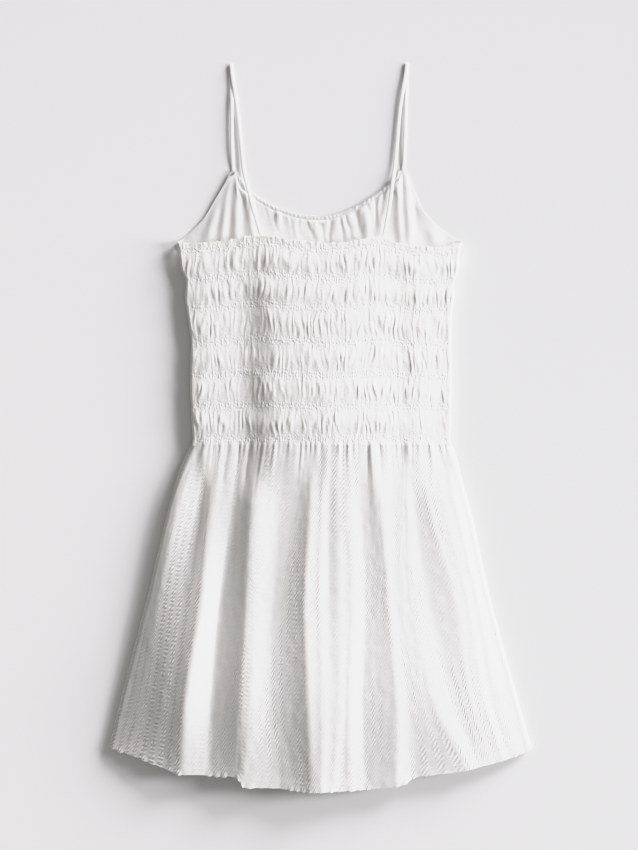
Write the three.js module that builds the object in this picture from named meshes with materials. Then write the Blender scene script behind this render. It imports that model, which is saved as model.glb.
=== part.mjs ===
import * as THREE from 'three';

// A seersucker slip dress laid flat on its front, so that its shirred back faces up.
// Lengths are millimetres. The floor is z = 0, the straps point towards +Y,
// and x = 0, y = 0 is the middle of the whole outline.

// Driving sizes
const WALL = 1.2; // cloth with the height of its puckers
const SEAM_GAP = 0.3; // between two pieces at their seam
const SIDE_Y = 220; // where the side seams begin, at the armholes
const WAIST_Y = -23; // seam between the bodice and the skirt
const SIDE_SEAM_RISE = 2.4; // height at which the side seams lie
const CURL = 9; // how far the front panels curl up at the sides
const SHIRRED_DEPTH = 245; // back bodice, from its frill to the waist seam
const HEM_BAND = 13; // turned hem
const HEM_TURN = 0.6; // thickness that the turned hem adds
const FRONT_SHORTER = 4; // the front hem lies this far inside the back hem
const STRAP_WIDTH = 4.2;
const STRAP_THICKNESS = 2.6;
const CASING_WIDTH = 5;
const CASING_THICKNESS = 1.3;

// Number of gathers
const BODICE_GATHERS = 46;
const NECKLINE_GATHERS = 22;
const STEPS_PER_FOLD = 4;

// Outline of the laid dress: the side edges at heights y
const outline = [
  { y: 221, left: -170.7, right: 169.2 },
  { y: 206, left: -168.0, right: 166.5 },
  { y: 188, left: -165.5, right: 164.5 },
  { y: 174, left: -160.0, right: 160.0 },
  { y: 150, left: -160.8, right: 158.4 },
  { y: 124, left: -156.5, right: 156.2 },
  { y: 96, left: -154.0, right: 156.0 },
  { y: 60, left: -155.2, right: 156.4 },
  { y: 22, left: -154.0, right: 156.0 },
  { y: -18, left: -152.6, right: 155.4 },
  { y: -28, left: -157.0, right: 159.0 },
  { y: -40, left: -163.4, right: 163.0 },
  { y: -64, left: -172.0, right: 169.0 },
  { y: -112, left: -185.0, right: 182.0 },
  { y: -208, left: -208.0, right: 203.7 },
  { y: -328, left: -239.0, right: 236.4 },
  { y: -387, left: -253.2, right: 253.2 },
];

// Upper edge of the back bodice, its frill included
const backTopEdge = [
  { x: -171, y: 220 },
  { x: -126, y: 221 },
  { x: -76, y: 229 },
  { x: -60, y: 228 },
  { x: -36, y: 224 },
  { x: 0, y: 220 },
  { x: 24, y: 220 },
  { x: 62, y: 226 },
  { x: 76, y: 226 },
  { x: 96, y: 219 },
  { x: 140, y: 215 },
  { x: 169, y: 220 },
];

// Upper edge of the front bodice, in its three curves
const leftArmhole = [
  { x: -170.7, y: 221 },
  { x: -156, y: 233 },
  { x: -139.5, y: 250 },
  { x: -125, y: 274 },
  { x: -114, y: 292 },
  { x: -108, y: 305 },
];
const neckline = [
  { x: -101, y: 308 },
  { x: -92.5, y: 292 },
  { x: -70, y: 273 },
  { x: -36, y: 258 },
  { x: -3, y: 252.5 },
  { x: 24, y: 257 },
  { x: 55, y: 272 },
  { x: 84, y: 294 },
  { x: 97, y: 309 },
];
const rightArmhole = [
  { x: 103, y: 310 },
  { x: 112.5, y: 284 },
  { x: 123, y: 260 },
  { x: 140, y: 241 },
  { x: 159, y: 227 },
  { x: 169.2, y: 221 },
];

// Elastic rows of the back bodice: distance below the frill's edge, and half the width of each row
const elasticRows = [
  { below: 9, half: 1.2 },
  { below: 44, half: 4 },
  { below: 79, half: 4 },
  { below: 121, half: 4 },
  { below: 160, half: 4 },
  { below: 198, half: 4 },
  { below: 237, half: 4 },
];

// Ridges and troughs down the back bodice: places x and rises at its top, chest and waist
const bodiceFolds = [
  { xTop: -160, xWaist: -149, riseTop: 6.6, riseChest: 6.3, riseWaist: 6.6 },
  { xTop: -147, xWaist: -139, riseTop: 7.4, riseChest: 7.4, riseWaist: 7.8 },
  { xTop: -118, xWaist: -118, riseTop: 7.2, riseChest: 6.8, riseWaist: 7.4 },
  { xTop: -101, xWaist: -98, riseTop: 7.4, riseChest: 5.7, riseWaist: 6.8 },
  { xTop: -58, xWaist: -60, riseTop: 9.2, riseChest: 10.6, riseWaist: 12.4 },
  { xTop: -36, xWaist: -36, riseTop: 9.6, riseChest: 11.2, riseWaist: 13.0 },
  { xTop: 6, xWaist: 6, riseTop: 9.4, riseChest: 11.2, riseWaist: 13.6 },
  { xTop: 36, xWaist: 36, riseTop: 9.2, riseChest: 10.4, riseWaist: 12.6 },
  { xTop: 62, xWaist: 62, riseTop: 8.8, riseChest: 8.8, riseWaist: 11.2 },
  { xTop: 96, xWaist: 96, riseTop: 7.6, riseChest: 6.4, riseWaist: 8.4 },
  { xTop: 112, xWaist: 112, riseTop: 7.4, riseChest: 6.5, riseWaist: 8.2 },
  { xTop: 158, xWaist: 150, riseTop: 5.8, riseChest: 4.4, riseWaist: 5.0 },
];

// Ridges and troughs down the back skirt: places x at the waist, at three heights below it and at
// the hem, rises at those heights and the hem, how soft the line is (0 a crease, 1 a round bend),
// and the y at which it ends
const SKIRT_HEIGHTS = [-88, -208, -328];
const skirtFoldColumns = ['xWaist', 'xHigh', 'xMid', 'xLow', 'xHem', 'riseHigh', 'riseMid', 'riseLow',
  'riseHem', 'soft', 'endY'];
const skirtFolds = [
  [-149, -175, -201, -232, -246, 7.0, 6.4, 5.0, 4.2, 1.0, -387],
  [-141, -169, -188, -209, -222, 8.6, 10.8, 10.2, 7.5, 0.5, -395],
  [-133, -143, -165, -183, -192, 7.6, 12.8, 16.4, 12.0, 0.7, -407],
  [-123, -130, -140, -159, -165, 9.4, 16.0, 22.4, 16.6, 0.0, -416],
  [-96, -102, -113, -127, -131, 7.8, 11.6, 18.0, 12.2, 0.2, -417],
  [-72, -83, -88, -95, -99, 14.2, 18.6, 25.0, 19.0, 0.0, -418],
  [-64, -75, -81, -84, -92, 14.4, 18.6, 24.8, 19.0, 0.6, -431],
  [-39, -46, -50, -50, -44, 11.6, 14.0, 20.0, 15.0, 1.0, -432],
  [-26, -30, -41, -44, -38, 12.2, 14.8, 20.2, 15.4, 0.8, -433],
  [-8, -10, -17, -14, -10, 14.6, 18.4, 23.2, 19.4, 0.0, -437],
  [1, 0, -3, 0, 0, 14.0, 17.4, 22.8, 19.0, 1.0, -437],
  [12, 9, 10, 13, 9, 13.2, 16.2, 22.0, 17.8, 0.4, -436],
  [22, 21, 23, 24, 15, 13.8, 17.0, 22.2, 17.6, 0.2, -436],
  [31, 31, 36, 32, 31, 13.4, 16.2, 21.5, 15.8, 1.0, -435],
  [50, 50, 55, 52, 55, 11.4, 13.8, 19.0, 12.8, 0.9, -434],
  [70, 75, 82, 92, 92, 12.4, 15.0, 18.2, 13.8, 0.1, -431],
  [92, 94, 95, 109, 116, 10.6, 13.6, 16.6, 11.2, 0.8, -419],
  [99, 103, 107, 133, 176, 10.4, 13.0, 16.2, 11.4, 0.4, -412],
  [110, 112, 131, 162, 194, 9.4, 10.8, 12.8, 9.2, 0.7, -407],
  [124, 129, 162, 180, 206, 10.0, 11.2, 12.4, 8.4, 0.3, -404],
  [135, 144, 174, 194, 218, 9.2, 10.2, 11.2, 7.6, 0.8, -401],
  [145, 159, 186, 208, 229, 9.2, 9.4, 9.8, 6.8, 0.9, -397],
  [152, 172, 199, 233, 248, 8.0, 8.0, 7.6, 5.8, 1.0, -389],
].map((row) => Object.fromEntries(row.map((value, i) => [skirtFoldColumns[i], value])));

// Soft folds of the front bodice that fan down from its strap corners
const frontFolds = [
  { xHigh: -115, xLow: -133, rise: 2.2, width: 5 },
  { xHigh: -109, xLow: -116, rise: 2.8, width: 5 },
  { xHigh: -100, xLow: -102, rise: 3.0, width: 6 },
  { xHigh: -88, xLow: -79, rise: 2.4, width: 7 },
  { xHigh: 58, xLow: 57, rise: 2.0, width: 6 },
  { xHigh: 91, xLow: 97, rise: 2.6, width: 5 },
  { xHigh: 104, xLow: 108, rise: 2.8, width: 6 },
  { xHigh: 120, xLow: 139, rise: 1.8, width: 9 },
];

// Routes of the straps: x, y and height z along each one, from the front corner over the
// shoulder bend to the inside of the back
const leftStrapRoute = [
  { x: -104.5, y: 309.5, z: 3.4 },
  { x: -105.6, y: 322, z: 2.2 },
  { x: -106.3, y: 345, z: 1.6 },
  { x: -106.5, y: 392, z: 1.5 },
  { x: -106.8, y: 425, z: 1.5 },
  { x: -107.0, y: 432, z: 1.6 },
  { x: -107.1, y: 434.8, z: 3.2 },
  { x: -106.9, y: 432, z: 4.9 },
  { x: -106.3, y: 424, z: 5.0 },
  { x: -104.7, y: 412, z: 4.8 },
  { x: -101.3, y: 392, z: 3.2 },
  { x: -98.5, y: 368, z: 1.8 },
  { x: -94.5, y: 330, z: 2.4 },
  { x: -92.0, y: 308, z: 5.2 },
  { x: -87.5, y: 288, z: 8.2 },
  { x: -81.0, y: 262, z: 8.0 },
  { x: -73.5, y: 237, z: 6.4 },
  { x: -69.5, y: 223, z: 5.8 },
];
const rightStrapRoute = [
  { x: 99.0, y: 310.8, z: 3.4 },
  { x: 100.4, y: 320, z: 2.2 },
  { x: 101.2, y: 340, z: 1.6 },
  { x: 102.4, y: 380, z: 1.5 },
  { x: 103.6, y: 420, z: 1.5 },
  { x: 103.9, y: 433, z: 1.6 },
  { x: 103.9, y: 436, z: 3.2 },
  { x: 103.5, y: 433, z: 4.9 },
  { x: 101.7, y: 420, z: 5.0 },
  { x: 99.0, y: 404, z: 4.4 },
  { x: 95.4, y: 380, z: 2.2 },
  { x: 91.4, y: 336, z: 2.2 },
  { x: 89.2, y: 312, z: 5.2 },
  { x: 86.4, y: 292, z: 8.4 },
  { x: 83.0, y: 266, z: 8.0 },
  { x: 78.5, y: 240, z: 6.6 },
  { x: 75.2, y: 222, z: 5.8 },
];

// Small helpers
const mix = (a, b, t) => a + (b - a) * t;
const clamp01 = (t) => Math.min(1, Math.max(0, t));
const ease = (t) => clamp01(t) ** 2 * (3 - 2 * clamp01(t));

// Uneven but repeatable share between 0 and 1 for the fold or gather i in row j
function uneven(i, j) {
  const wave = Math.sin(i * 12.9898 + j * 78.233) * 43758.5453;
  return wave - Math.floor(wave);
}

// A smooth curve through the rows of a table, read as column `value` at place `at`
function smoothColumn(rows, at, value) {
  const slopes = rows.map((row, i) => {
    const before = rows[Math.max(0, i - 1)];
    const after = rows[Math.min(rows.length - 1, i + 1)];
    return (after[value] - before[value]) / (after[at] - before[at]);
  });
  const rising = rows[rows.length - 1][at] > rows[0][at];
  return (place) => {
    let i = 0;
    const past = (row) => (rising ? place > row[at] : place < row[at]);
    while (i < rows.length - 2 && past(rows[i + 1])) i += 1;
    const span = rows[i + 1][at] - rows[i][at];
    const t = clamp01((place - rows[i][at]) / span);
    const t2 = t * t;
    const t3 = t2 * t;
    return (2 * t3 - 3 * t2 + 1) * rows[i][value] + (t3 - 2 * t2 + t) * span * slopes[i]
      + (3 * t2 - 2 * t3) * rows[i + 1][value] + (t3 - t2) * span * slopes[i + 1];
  };
}

const leftEdge = smoothColumn(outline, 'y', 'left');
const rightEdge = smoothColumn(outline, 'y', 'right');
const backTop = smoothColumn(backTopEdge, 'x', 'y');
const leftArmholeY = smoothColumn(leftArmhole, 'x', 'y');
const necklineY = smoothColumn(neckline, 'x', 'y');
const rightArmholeY = smoothColumn(rightArmhole, 'x', 'y');

// Share of the way from one fold line to the next, level at an end that is soft
function foldBlend(t, softStart, softEnd) {
  const start = (1 - softStart) * (1 + softEnd);
  const end = (1 - softEnd) * (1 + softStart);
  return (t ** 3 - 2 * t ** 2 + t) * start + 3 * t ** 2 - 2 * t ** 3 + (t ** 3 - t ** 2) * end;
}

// A closed cloth wall. `surface(c, r)` gives its plain lower face for shares c across and r down.
// The upper face lies a wall's thickness further along the normal, and `raise(i, j)` further
// still at its own column i and row j.
function clothWall({ surface, raise = () => 0, wall = WALL, cols, rows, plainCols, plainRows }) {
  const STEP = 1e-3;
  const points = [];
  const triangles = [];

  function normalAt(c, r) {
    const c0 = Math.max(0, c - STEP);
    const c1 = Math.min(1, c + STEP);
    const r0 = Math.max(0, r - STEP);
    const r1 = Math.min(1, r + STEP);
    const across = surface(c1, r).sub(surface(c0, r));
    const down = surface(c, r1).sub(surface(c, r0));
    const normal = down.cross(across);
    if (r === 0 || r === 1) normal.y = 0; // the ends stay square to the seams
    return normal.normalize();
  }

  function face(colShares, rowShares, place) {
    return colShares.map((c, i) => rowShares.map((r, j) => {
      points.push(place(c, r, i, j));
      return points.length - 1;
    }));
  }

  function fill(grid, facesDown) {
    for (let i = 0; i < grid.length - 1; i += 1) {
      for (let j = 0; j < grid[0].length - 1; j += 1) {
        const [a, b, c, d] = [grid[i][j], grid[i + 1][j], grid[i + 1][j + 1], grid[i][j + 1]];
        if (facesDown) triangles.push([a, b, c], [a, c, d]);
        else triangles.push([a, c, b], [a, d, c]);
      }
    }
  }

  // The edge of a face as a loop, each point with its share of the way round
  function rim(grid, colShares, rowShares) {
    const last = grid.length - 1;
    const low = grid[0].length - 1;
    const loop = [];
    for (let i = 0; i < last; i += 1) loop.push({ id: grid[i][0], way: colShares[i] });
    for (let j = 0; j < low; j += 1) loop.push({ id: grid[last][j], way: 1 + rowShares[j] });
    for (let i = last; i > 0; i -= 1) loop.push({ id: grid[i][low], way: 3 - colShares[i] });
    for (let j = low; j > 0; j -= 1) loop.push({ id: grid[0][j], way: 4 - rowShares[j] });
    loop.push({ id: loop[0].id, way: 4 });
    return loop;
  }

  const plain = face(plainCols, plainRows, (c, r) => surface(c, r));
  const worked = face(cols, rows, (c, r, i, j) => (
    surface(c, r).addScaledVector(normalAt(c, r), wall + raise(i, j))
  ));
  fill(worked, false);
  fill(plain, true);
  const outer = rim(worked, cols, rows);
  const inner = rim(plain, plainCols, plainRows);
  let o = 0;
  let n = 0;
  while (o < outer.length - 1 || n < inner.length - 1) {
    const outerNext = o < outer.length - 1 ? outer[o + 1].way : Infinity;
    const innerNext = n < inner.length - 1 ? inner[n + 1].way : Infinity;
    const step = outerNext <= innerNext
      ? [outer[o].id, outer[o + 1].id, inner[n].id]
      : [outer[o].id, inner[n + 1].id, inner[n].id];
    triangles.push(step);
    if (outerNext <= innerNext) o += 1;
    else n += 1;
  }
  return solid(points, triangles);
}

function solid(points, triangles) {
  const geometry = new THREE.BufferGeometry();
  const corners = triangles.flat().flatMap((id) => points[id].toArray());
  geometry.setAttribute('position', new THREE.Float32BufferAttribute(corners, 3));
  geometry.computeVertexNormals();
  return geometry;
}

// Shares from 0 to 1 in equal steps, and every nth one of a list with both its ends
const evenShares = (count) => Array.from({ length: count + 1 }, (_, i) => i / count);
const everyNth = (list, n) => list.filter((_, i) => i % n === 0 || i === list.length - 1);

// Rise of the back bodice's plain face above the floor at x, y
const CHEST_Y = 120;
function bodiceRise(x, y) {
  const down = (SIDE_Y - y) / (SIDE_Y - WAIST_Y);
  const toChest = ease((SIDE_Y - y) / (SIDE_Y - CHEST_Y));
  const toWaist = ease((CHEST_Y - y) / (CHEST_Y - WAIST_Y));
  const places = bodiceFolds.map((fold) => ({
    x: mix(fold.xTop, fold.xWaist, clamp01(down)),
    z: mix(mix(fold.riseTop, fold.riseChest, toChest), fold.riseWaist, toWaist),
  }));
  let i = 0;
  while (i < places.length - 2 && x > places[i + 1].x) i += 1;
  const share = clamp01((x - places[i].x) / (places[i + 1].x - places[i].x));
  return mix(places[i].z, places[i + 1].z, mix(ease(share), share, 0.5));
}

// A rounded side of the back, a quarter of an ellipse from the side seam up to a crest.
// `inward` is +1 at the left side and -1 at the right one.
function sideRound(edgeX, crestX, crestRise, share, inward) {
  const turn = share * Math.PI / 2;
  const seamRise = SIDE_SEAM_RISE + SEAM_GAP;
  const startX = edgeX + inward * WALL;
  return {
    x: mix(startX, crestX, 1 - Math.cos(turn)),
    z: mix(seamRise, crestRise, Math.sin(turn)),
  };
}

const SIDE_SHARE = 0.06; // share of the bodice's width in each rounded side
const SIDE_ROUND = 4; // width of that rounded side, seen from above
function backBodiceSurface(c, r) {
  const roughY = SIDE_Y - r * (SIDE_Y - WAIST_Y);
  const left = leftEdge(roughY);
  const right = rightEdge(roughY);
  let place;
  if (c < SIDE_SHARE) {
    const crest = left + SIDE_ROUND;
    place = sideRound(left, crest, bodiceRise(crest, roughY), c / SIDE_SHARE, 1);
  } else if (c > 1 - SIDE_SHARE) {
    const crest = right - SIDE_ROUND;
    place = sideRound(right, crest, bodiceRise(crest, roughY), (1 - c) / SIDE_SHARE, -1);
  } else {
    const x = mix(left + SIDE_ROUND, right - SIDE_ROUND, (c - SIDE_SHARE) / (1 - 2 * SIDE_SHARE));
    place = { x, z: bodiceRise(x, roughY) };
  }
  const seamY = WAIST_Y + SEAM_GAP / 2;
  return new THREE.Vector3(place.x, mix(backTop(place.x), seamY, r), place.z);
}

// Shirred back: puffs of gathers pinched in by the elastic rows, under a frill
const GATHER_HEIGHT = 2.6;
const PUFF_HEIGHT = 1.6;
const FRILL_HEIGHT = 1.8;
const puffRows = [{ share: 0.26, fullness: 0.95 }, { share: 0.72, fullness: 1 }];
function backBodice() {
  const lines = [{ below: 0, frill: 1, plain: true }, { below: 4.5, frill: 0.7 }];
  elasticRows.forEach((row, k) => {
    lines.push({ below: row.below - row.half, pinch: true, plain: true });
    lines.push({ below: row.below + row.half, pinch: true });
    const next = elasticRows[k + 1];
    if (!next) return;
    const start = row.below + row.half;
    const depth = next.below - next.half - start;
    puffRows.forEach(({ share, fullness }) => {
      lines.push({ below: start + share * depth, puff: k, fullness });
    });
  });
  lines.push({ below: SHIRRED_DEPTH, pinch: true, plain: true });
  const rows = lines.map((line) => line.below / SHIRRED_DEPTH);
  const cols = evenShares(BODICE_GATHERS * 2);
  const raise = (i, j) => {
    const line = lines[j];
    const crest = i % 2 === 1;
    if (line.frill) return crest ? FRILL_HEIGHT * line.frill : 0;
    if (line.pinch) return crest ? 0.4 : 0;
    const height = GATHER_HEIGHT * (0.7 + 0.6 * uneven(i, line.puff));
    return line.fullness * (PUFF_HEIGHT + (crest ? height : 0));
  };
  const plainRows = rows.filter((_, j) => lines[j].plain);
  return clothWall({
    surface: backBodiceSurface, raise, cols, rows, plainCols: everyNth(cols, 2), plainRows,
  });
}

// Back skirt: its columns run along the ridges and troughs of the folds
const FOLD_MERGE = 0.14; // share of the skirt in which the bodice's relief turns into the folds
const SIDE_HEM_Y = -386;
const foldLines = skirtFolds.map((fold) => {
  const stations = [
    { y: WAIST_Y, x: fold.xWaist, rise: bodiceRise(fold.xWaist, WAIST_Y) },
    { y: SKIRT_HEIGHTS[0], x: fold.xHigh, rise: fold.riseHigh },
    { y: SKIRT_HEIGHTS[1], x: fold.xMid, rise: fold.riseMid },
    { y: SKIRT_HEIGHTS[2], x: fold.xLow, rise: fold.riseLow },
    { y: fold.endY, x: fold.xHem, rise: fold.riseHem },
  ];
  const xAt = smoothColumn(stations, 'y', 'x');
  const riseAt = smoothColumn(stations, 'y', 'rise');
  return { xAt, riseAt, soft: fold.soft, endY: fold.endY };
});

function backSkirtSurface(c, r) {
  const merge = ease(r / FOLD_MERGE);
  const startY = WAIST_Y - SEAM_GAP / 2;
  const reach = c * (foldLines.length + 1);
  const k = Math.min(foldLines.length, Math.floor(reach));
  const share = reach - k;
  if (k > 0 && k < foldLines.length) {
    const [here, next] = [foldLines[k - 1], foldLines[k]];
    const y = mix(startY, mix(here.endY, next.endY, share), r);
    const x = mix(here.xAt(y), next.xAt(y), share);
    const z = mix(here.riseAt(y), next.riseAt(y), foldBlend(share, here.soft, next.soft));
    return new THREE.Vector3(x, y, mix(bodiceRise(x, WAIST_Y), z, merge));
  }
  const isLeft = k === 0;
  const line = isLeft ? foldLines[0] : foldLines[foldLines.length - 1];
  const edge = isLeft ? leftEdge : rightEdge;
  const turn = isLeft ? share : 1 - share;
  const y = mix(startY, mix(SIDE_HEM_Y, line.endY, turn), r);
  const rise = mix(bodiceRise(line.xAt(y), WAIST_Y), line.riseAt(y), merge);
  const edgeX = edge(mix(WAIST_Y, SIDE_HEM_Y, r));
  const place = sideRound(edgeX, line.xAt(y), rise, turn, isLeft ? 1 : -1);
  return new THREE.Vector3(place.x, y, place.z);
}

// Small gathers below the waist seam, of uneven length, that melt into the folds
const WAIST_GATHER_HEIGHT = 2;
const WAIST_GATHER_LENGTH = 0.06;
const HEM_SHARE = HEM_BAND / (WAIST_Y - SIDE_HEM_Y);
function backSkirt() {
  const rows = [0, 0.015, 0.04, 0.075, 0.12, 0.18, 0.26, 0.36, 0.47, 0.58, 0.69, 0.79, 0.88,
    1 - HEM_SHARE - 0.004, 1 - HEM_SHARE, 1];
  const cols = evenShares((skirtFolds.length + 1) * STEPS_PER_FOLD);
  const raise = (i, j) => {
    const reach = WAIST_GATHER_LENGTH * (0.5 + uneven(i, 3));
    const gather = i % 2 === 1 ? WAIST_GATHER_HEIGHT * Math.exp(-((rows[j] / reach) ** 2)) : 0;
    const turned = rows[j] >= 1 - HEM_SHARE - 1e-6 ? HEM_TURN : 0;
    return gather + turned;
  };
  return clothWall({
    surface: backSkirtSurface,
    raise,
    cols,
    rows,
    plainCols: everyNth(cols, 2),
    plainRows: everyNth(rows, 2),
  });
}

// Height of the front panels' curl at distance d in from the side edge
function curlRise(d) {
  const toEdge = 1 - Math.max(0, d) / CURL;
  return d < CURL ? SIDE_SEAM_RISE * (1 - Math.sqrt(1 - toEdge ** 2)) : 0;
}

// Shares across a front panel, with the curls at both sides stepped evenly round their bend
const CURL_SHARE = 0.05;
function frontShare(c) {
  const bend = (share) => 1 - Math.cos(share * Math.PI / 2);
  if (c < CURL_SHARE) return { curled: bend(c / CURL_SHARE), flat: 0, from: 1 };
  if (c > 1 - CURL_SHARE) return { curled: bend((1 - c) / CURL_SHARE), flat: 1, from: -1 };
  return { curled: 1, flat: (c - CURL_SHARE) / (1 - 2 * CURL_SHARE), from: 0 };
}

function frontX(c, y) {
  const left = leftEdge(Math.min(y, SIDE_Y));
  const right = rightEdge(Math.min(y, SIDE_Y));
  const place = frontShare(c);
  if (place.from === 1) return left + CURL * place.curled;
  if (place.from === -1) return right - CURL * place.curled;
  return mix(left + CURL, right - CURL, place.flat);
}

// The y at x on the straight line between two corners
const straight = (from, to, x) => mix(from.y, to.y, (x - from.x) / (to.x - from.x));

function frontTopY(x) {
  const leftCorner = leftArmhole[leftArmhole.length - 1];
  const rightCorner = rightArmhole[0];
  const neckStart = neckline[0];
  const neckEnd = neckline[neckline.length - 1];
  if (x <= leftCorner.x) return leftArmholeY(x);
  if (x >= rightCorner.x) return rightArmholeY(x);
  if (x < neckStart.x) return straight(leftCorner, neckStart, x);
  if (x > neckEnd.x) return straight(neckEnd, rightCorner, x);
  return necklineY(x);
}

// Front bodice: its edge lifts off the floor at the armholes, and a little at the neckline
const ARMHOLE_LIFT = 3;
const NECKLINE_LIFT = 1.2;
const LIFT_REACH = 13;
const LIFT_START = 14; // the lift begins this far in from the side seams
const FOLDS_HIGH_Y = 300;
const FOLDS_FADE_Y = 190;
function frontBodiceSurface(c, r) {
  const topX = frontX(c, SIDE_Y);
  const topY = frontTopY(topX);
  const y = mix(topY, WAIST_Y + SEAM_GAP / 2, r);
  const x = frontX(c, y);
  const belowTop = topY - y;
  const nearArmhole = Math.max(ease((-100 - x) / 10), ease((x - 95) / 10));
  const sideY = Math.min(y, SIDE_Y);
  const fromSide = Math.min(x - leftEdge(sideY), rightEdge(sideY) - x);
  const edgeLift = mix(NECKLINE_LIFT, ARMHOLE_LIFT, nearArmhole) * ease(fromSide / LIFT_START);
  const lift = edgeLift * Math.exp(-belowTop / LIFT_REACH);
  const curl = curlRise(fromSide);
  const down = (FOLDS_HIGH_Y - y) / (FOLDS_HIGH_Y - SIDE_Y);
  const fade = ease((y - FOLDS_FADE_Y) / (SIDE_Y + 15 - FOLDS_FADE_Y));
  const folds = frontFolds.reduce((sum, fold) => {
    const away = (x - mix(fold.xHigh, fold.xLow, down)) / fold.width;
    return sum + fold.rise * Math.exp(-away * away);
  }, 0);
  const inFromSide = ease((x + 160) / 12) * ease((158 - x) / 12);
  return new THREE.Vector3(x, y, Math.max(lift, curl) + folds * fade * inFromSide);
}

// The share across the front bodice at which its top edge passes x
function frontShareAt(x) {
  const left = leftEdge(SIDE_Y) + CURL;
  const right = rightEdge(SIDE_Y) - CURL;
  return CURL_SHARE + ((x - left) / (right - left)) * (1 - 2 * CURL_SHARE);
}

// How far the casing reaches down from the neckline at x, wider where the neckline is steep
function casingDepth(x) {
  const slope = (frontTopY(x + 1) - frontTopY(x - 1)) / 2;
  return CASING_WIDTH * Math.sqrt(1 + slope * slope);
}

const GATHER_RISE = 1.5;
function frontBodice() {
  const corners = [leftArmhole[leftArmhole.length - 1].x, neckline[0].x, neckline[neckline.length - 1].x,
    rightArmhole[0].x].map(frontShareAt);
  const [armEnd, neckStart, neckEnd, armStart] = corners;
  const curls = evenShares(4).map((share) => share * CURL_SHARE);
  const between = (from, to, count) => evenShares(count).slice(1).map((share) => mix(from, to, share));
  const cols = [
    ...curls,
    ...between(CURL_SHARE, armEnd, 9),
    ...between(armEnd, neckStart, 1),
    ...between(neckStart, neckEnd, NECKLINE_GATHERS * 2),
    ...between(neckEnd, armStart, 1),
    ...between(armStart, 1 - CURL_SHARE, 9),
    ...curls.slice(0, -1).reverse().map((share) => 1 - share),
  ];
  const rows = [0, 0.02, 0.04, 0.07, 0.11, 0.16, 0.24, 0.36, 0.6, 1];
  const firstGather = cols.indexOf(cols.find((c) => c >= neckStart - 1e-9));
  const raise = (i, j) => {
    const place = i - firstGather;
    if (place <= 0 || place >= NECKLINE_GATHERS * 2 || place % 2 === 0) return 0;
    const x = frontX(cols[i], SIDE_Y);
    const casingShare = casingDepth(x) / (frontTopY(x) - WAIST_Y);
    if (j === 0 || rows[j - 1] < casingShare) return 0;
    const belowCasing = rows[j] - casingShare;
    const reach = 0.07 + 0.1 * uneven(i, 5);
    return GATHER_RISE * Math.exp(-((belowCasing / reach) ** 2));
  };
  const plainCols = cols.filter((c, i) => i < 6 || i > cols.length - 7 || i % 2 === 0 || corners.includes(c));
  return clothWall({
    surface: frontBodiceSurface, raise, cols, rows, plainCols, plainRows: rows,
  });
}

// Narrow gathered casing that lies on the inside of the front neckline
const CASING_STEPS = 66;
const CASING_END = 3; // stops this far short of the strap corners
function necklineCasing() {
  const start = frontShareAt(neckline[0].x + CASING_END);
  const end = frontShareAt(neckline[neckline.length - 1].x - CASING_END);
  const lifted = WALL + 2 * SEAM_GAP;
  const surface = (c, r) => {
    const share = mix(start, end, c);
    const x = frontX(share, SIDE_Y);
    const below = casingDepth(x) * mix(0.08, 1, r) / (frontTopY(x) - WAIST_Y);
    const point = frontBodiceSurface(share, below);
    return point.add(new THREE.Vector3(0, 0, lifted));
  };
  const cols = evenShares(CASING_STEPS);
  const raise = (i, j) => (j === 1 ? 0.6 : 0) + (i % 2 === 1 ? 0.5 : 0);
  return clothWall({
    surface,
    raise,
    wall: CASING_THICKNESS,
    cols,
    rows: [0, 0.5, 1],
    plainCols: everyNth(cols, 2),
    plainRows: [0, 1],
  });
}

// Front skirt, flat on the floor under the back skirt
const hemRows = [
  { x: -253.2, y: SIDE_HEM_Y },
  ...skirtFolds.filter((_, i) => i % 3 === 2).map((fold) => ({ x: fold.xHem, y: fold.endY })),
  { x: 253.2, y: SIDE_HEM_Y },
];
const hemY = smoothColumn(hemRows, 'x', 'y');
function frontSkirtSurface(c, r) {
  const hemX = frontX(c, SIDE_HEM_Y);
  const y = mix(WAIST_Y - SEAM_GAP / 2, hemY(hemX) + FRONT_SHORTER, r);
  const sideY = mix(WAIST_Y, SIDE_HEM_Y, r);
  const x = frontX(c, sideY);
  const fromSide = Math.min(x - leftEdge(sideY), rightEdge(sideY) - x);
  return new THREE.Vector3(x, y, curlRise(fromSide));
}

function frontSkirt() {
  const curls = evenShares(4).map((share) => share * CURL_SHARE);
  const flat = evenShares(16).map((share) => mix(CURL_SHARE, 1 - CURL_SHARE, share));
  const cols = [...curls.slice(0, -1), ...flat, ...curls.slice(0, -1).reverse().map((share) => 1 - share)];
  const rows = [0, 0.04, 0.1, 0.2, 0.4, 0.6, 0.8, 1];
  return clothWall({ surface: frontSkirtSurface, cols, rows, plainCols: cols, plainRows: rows });
}

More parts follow.
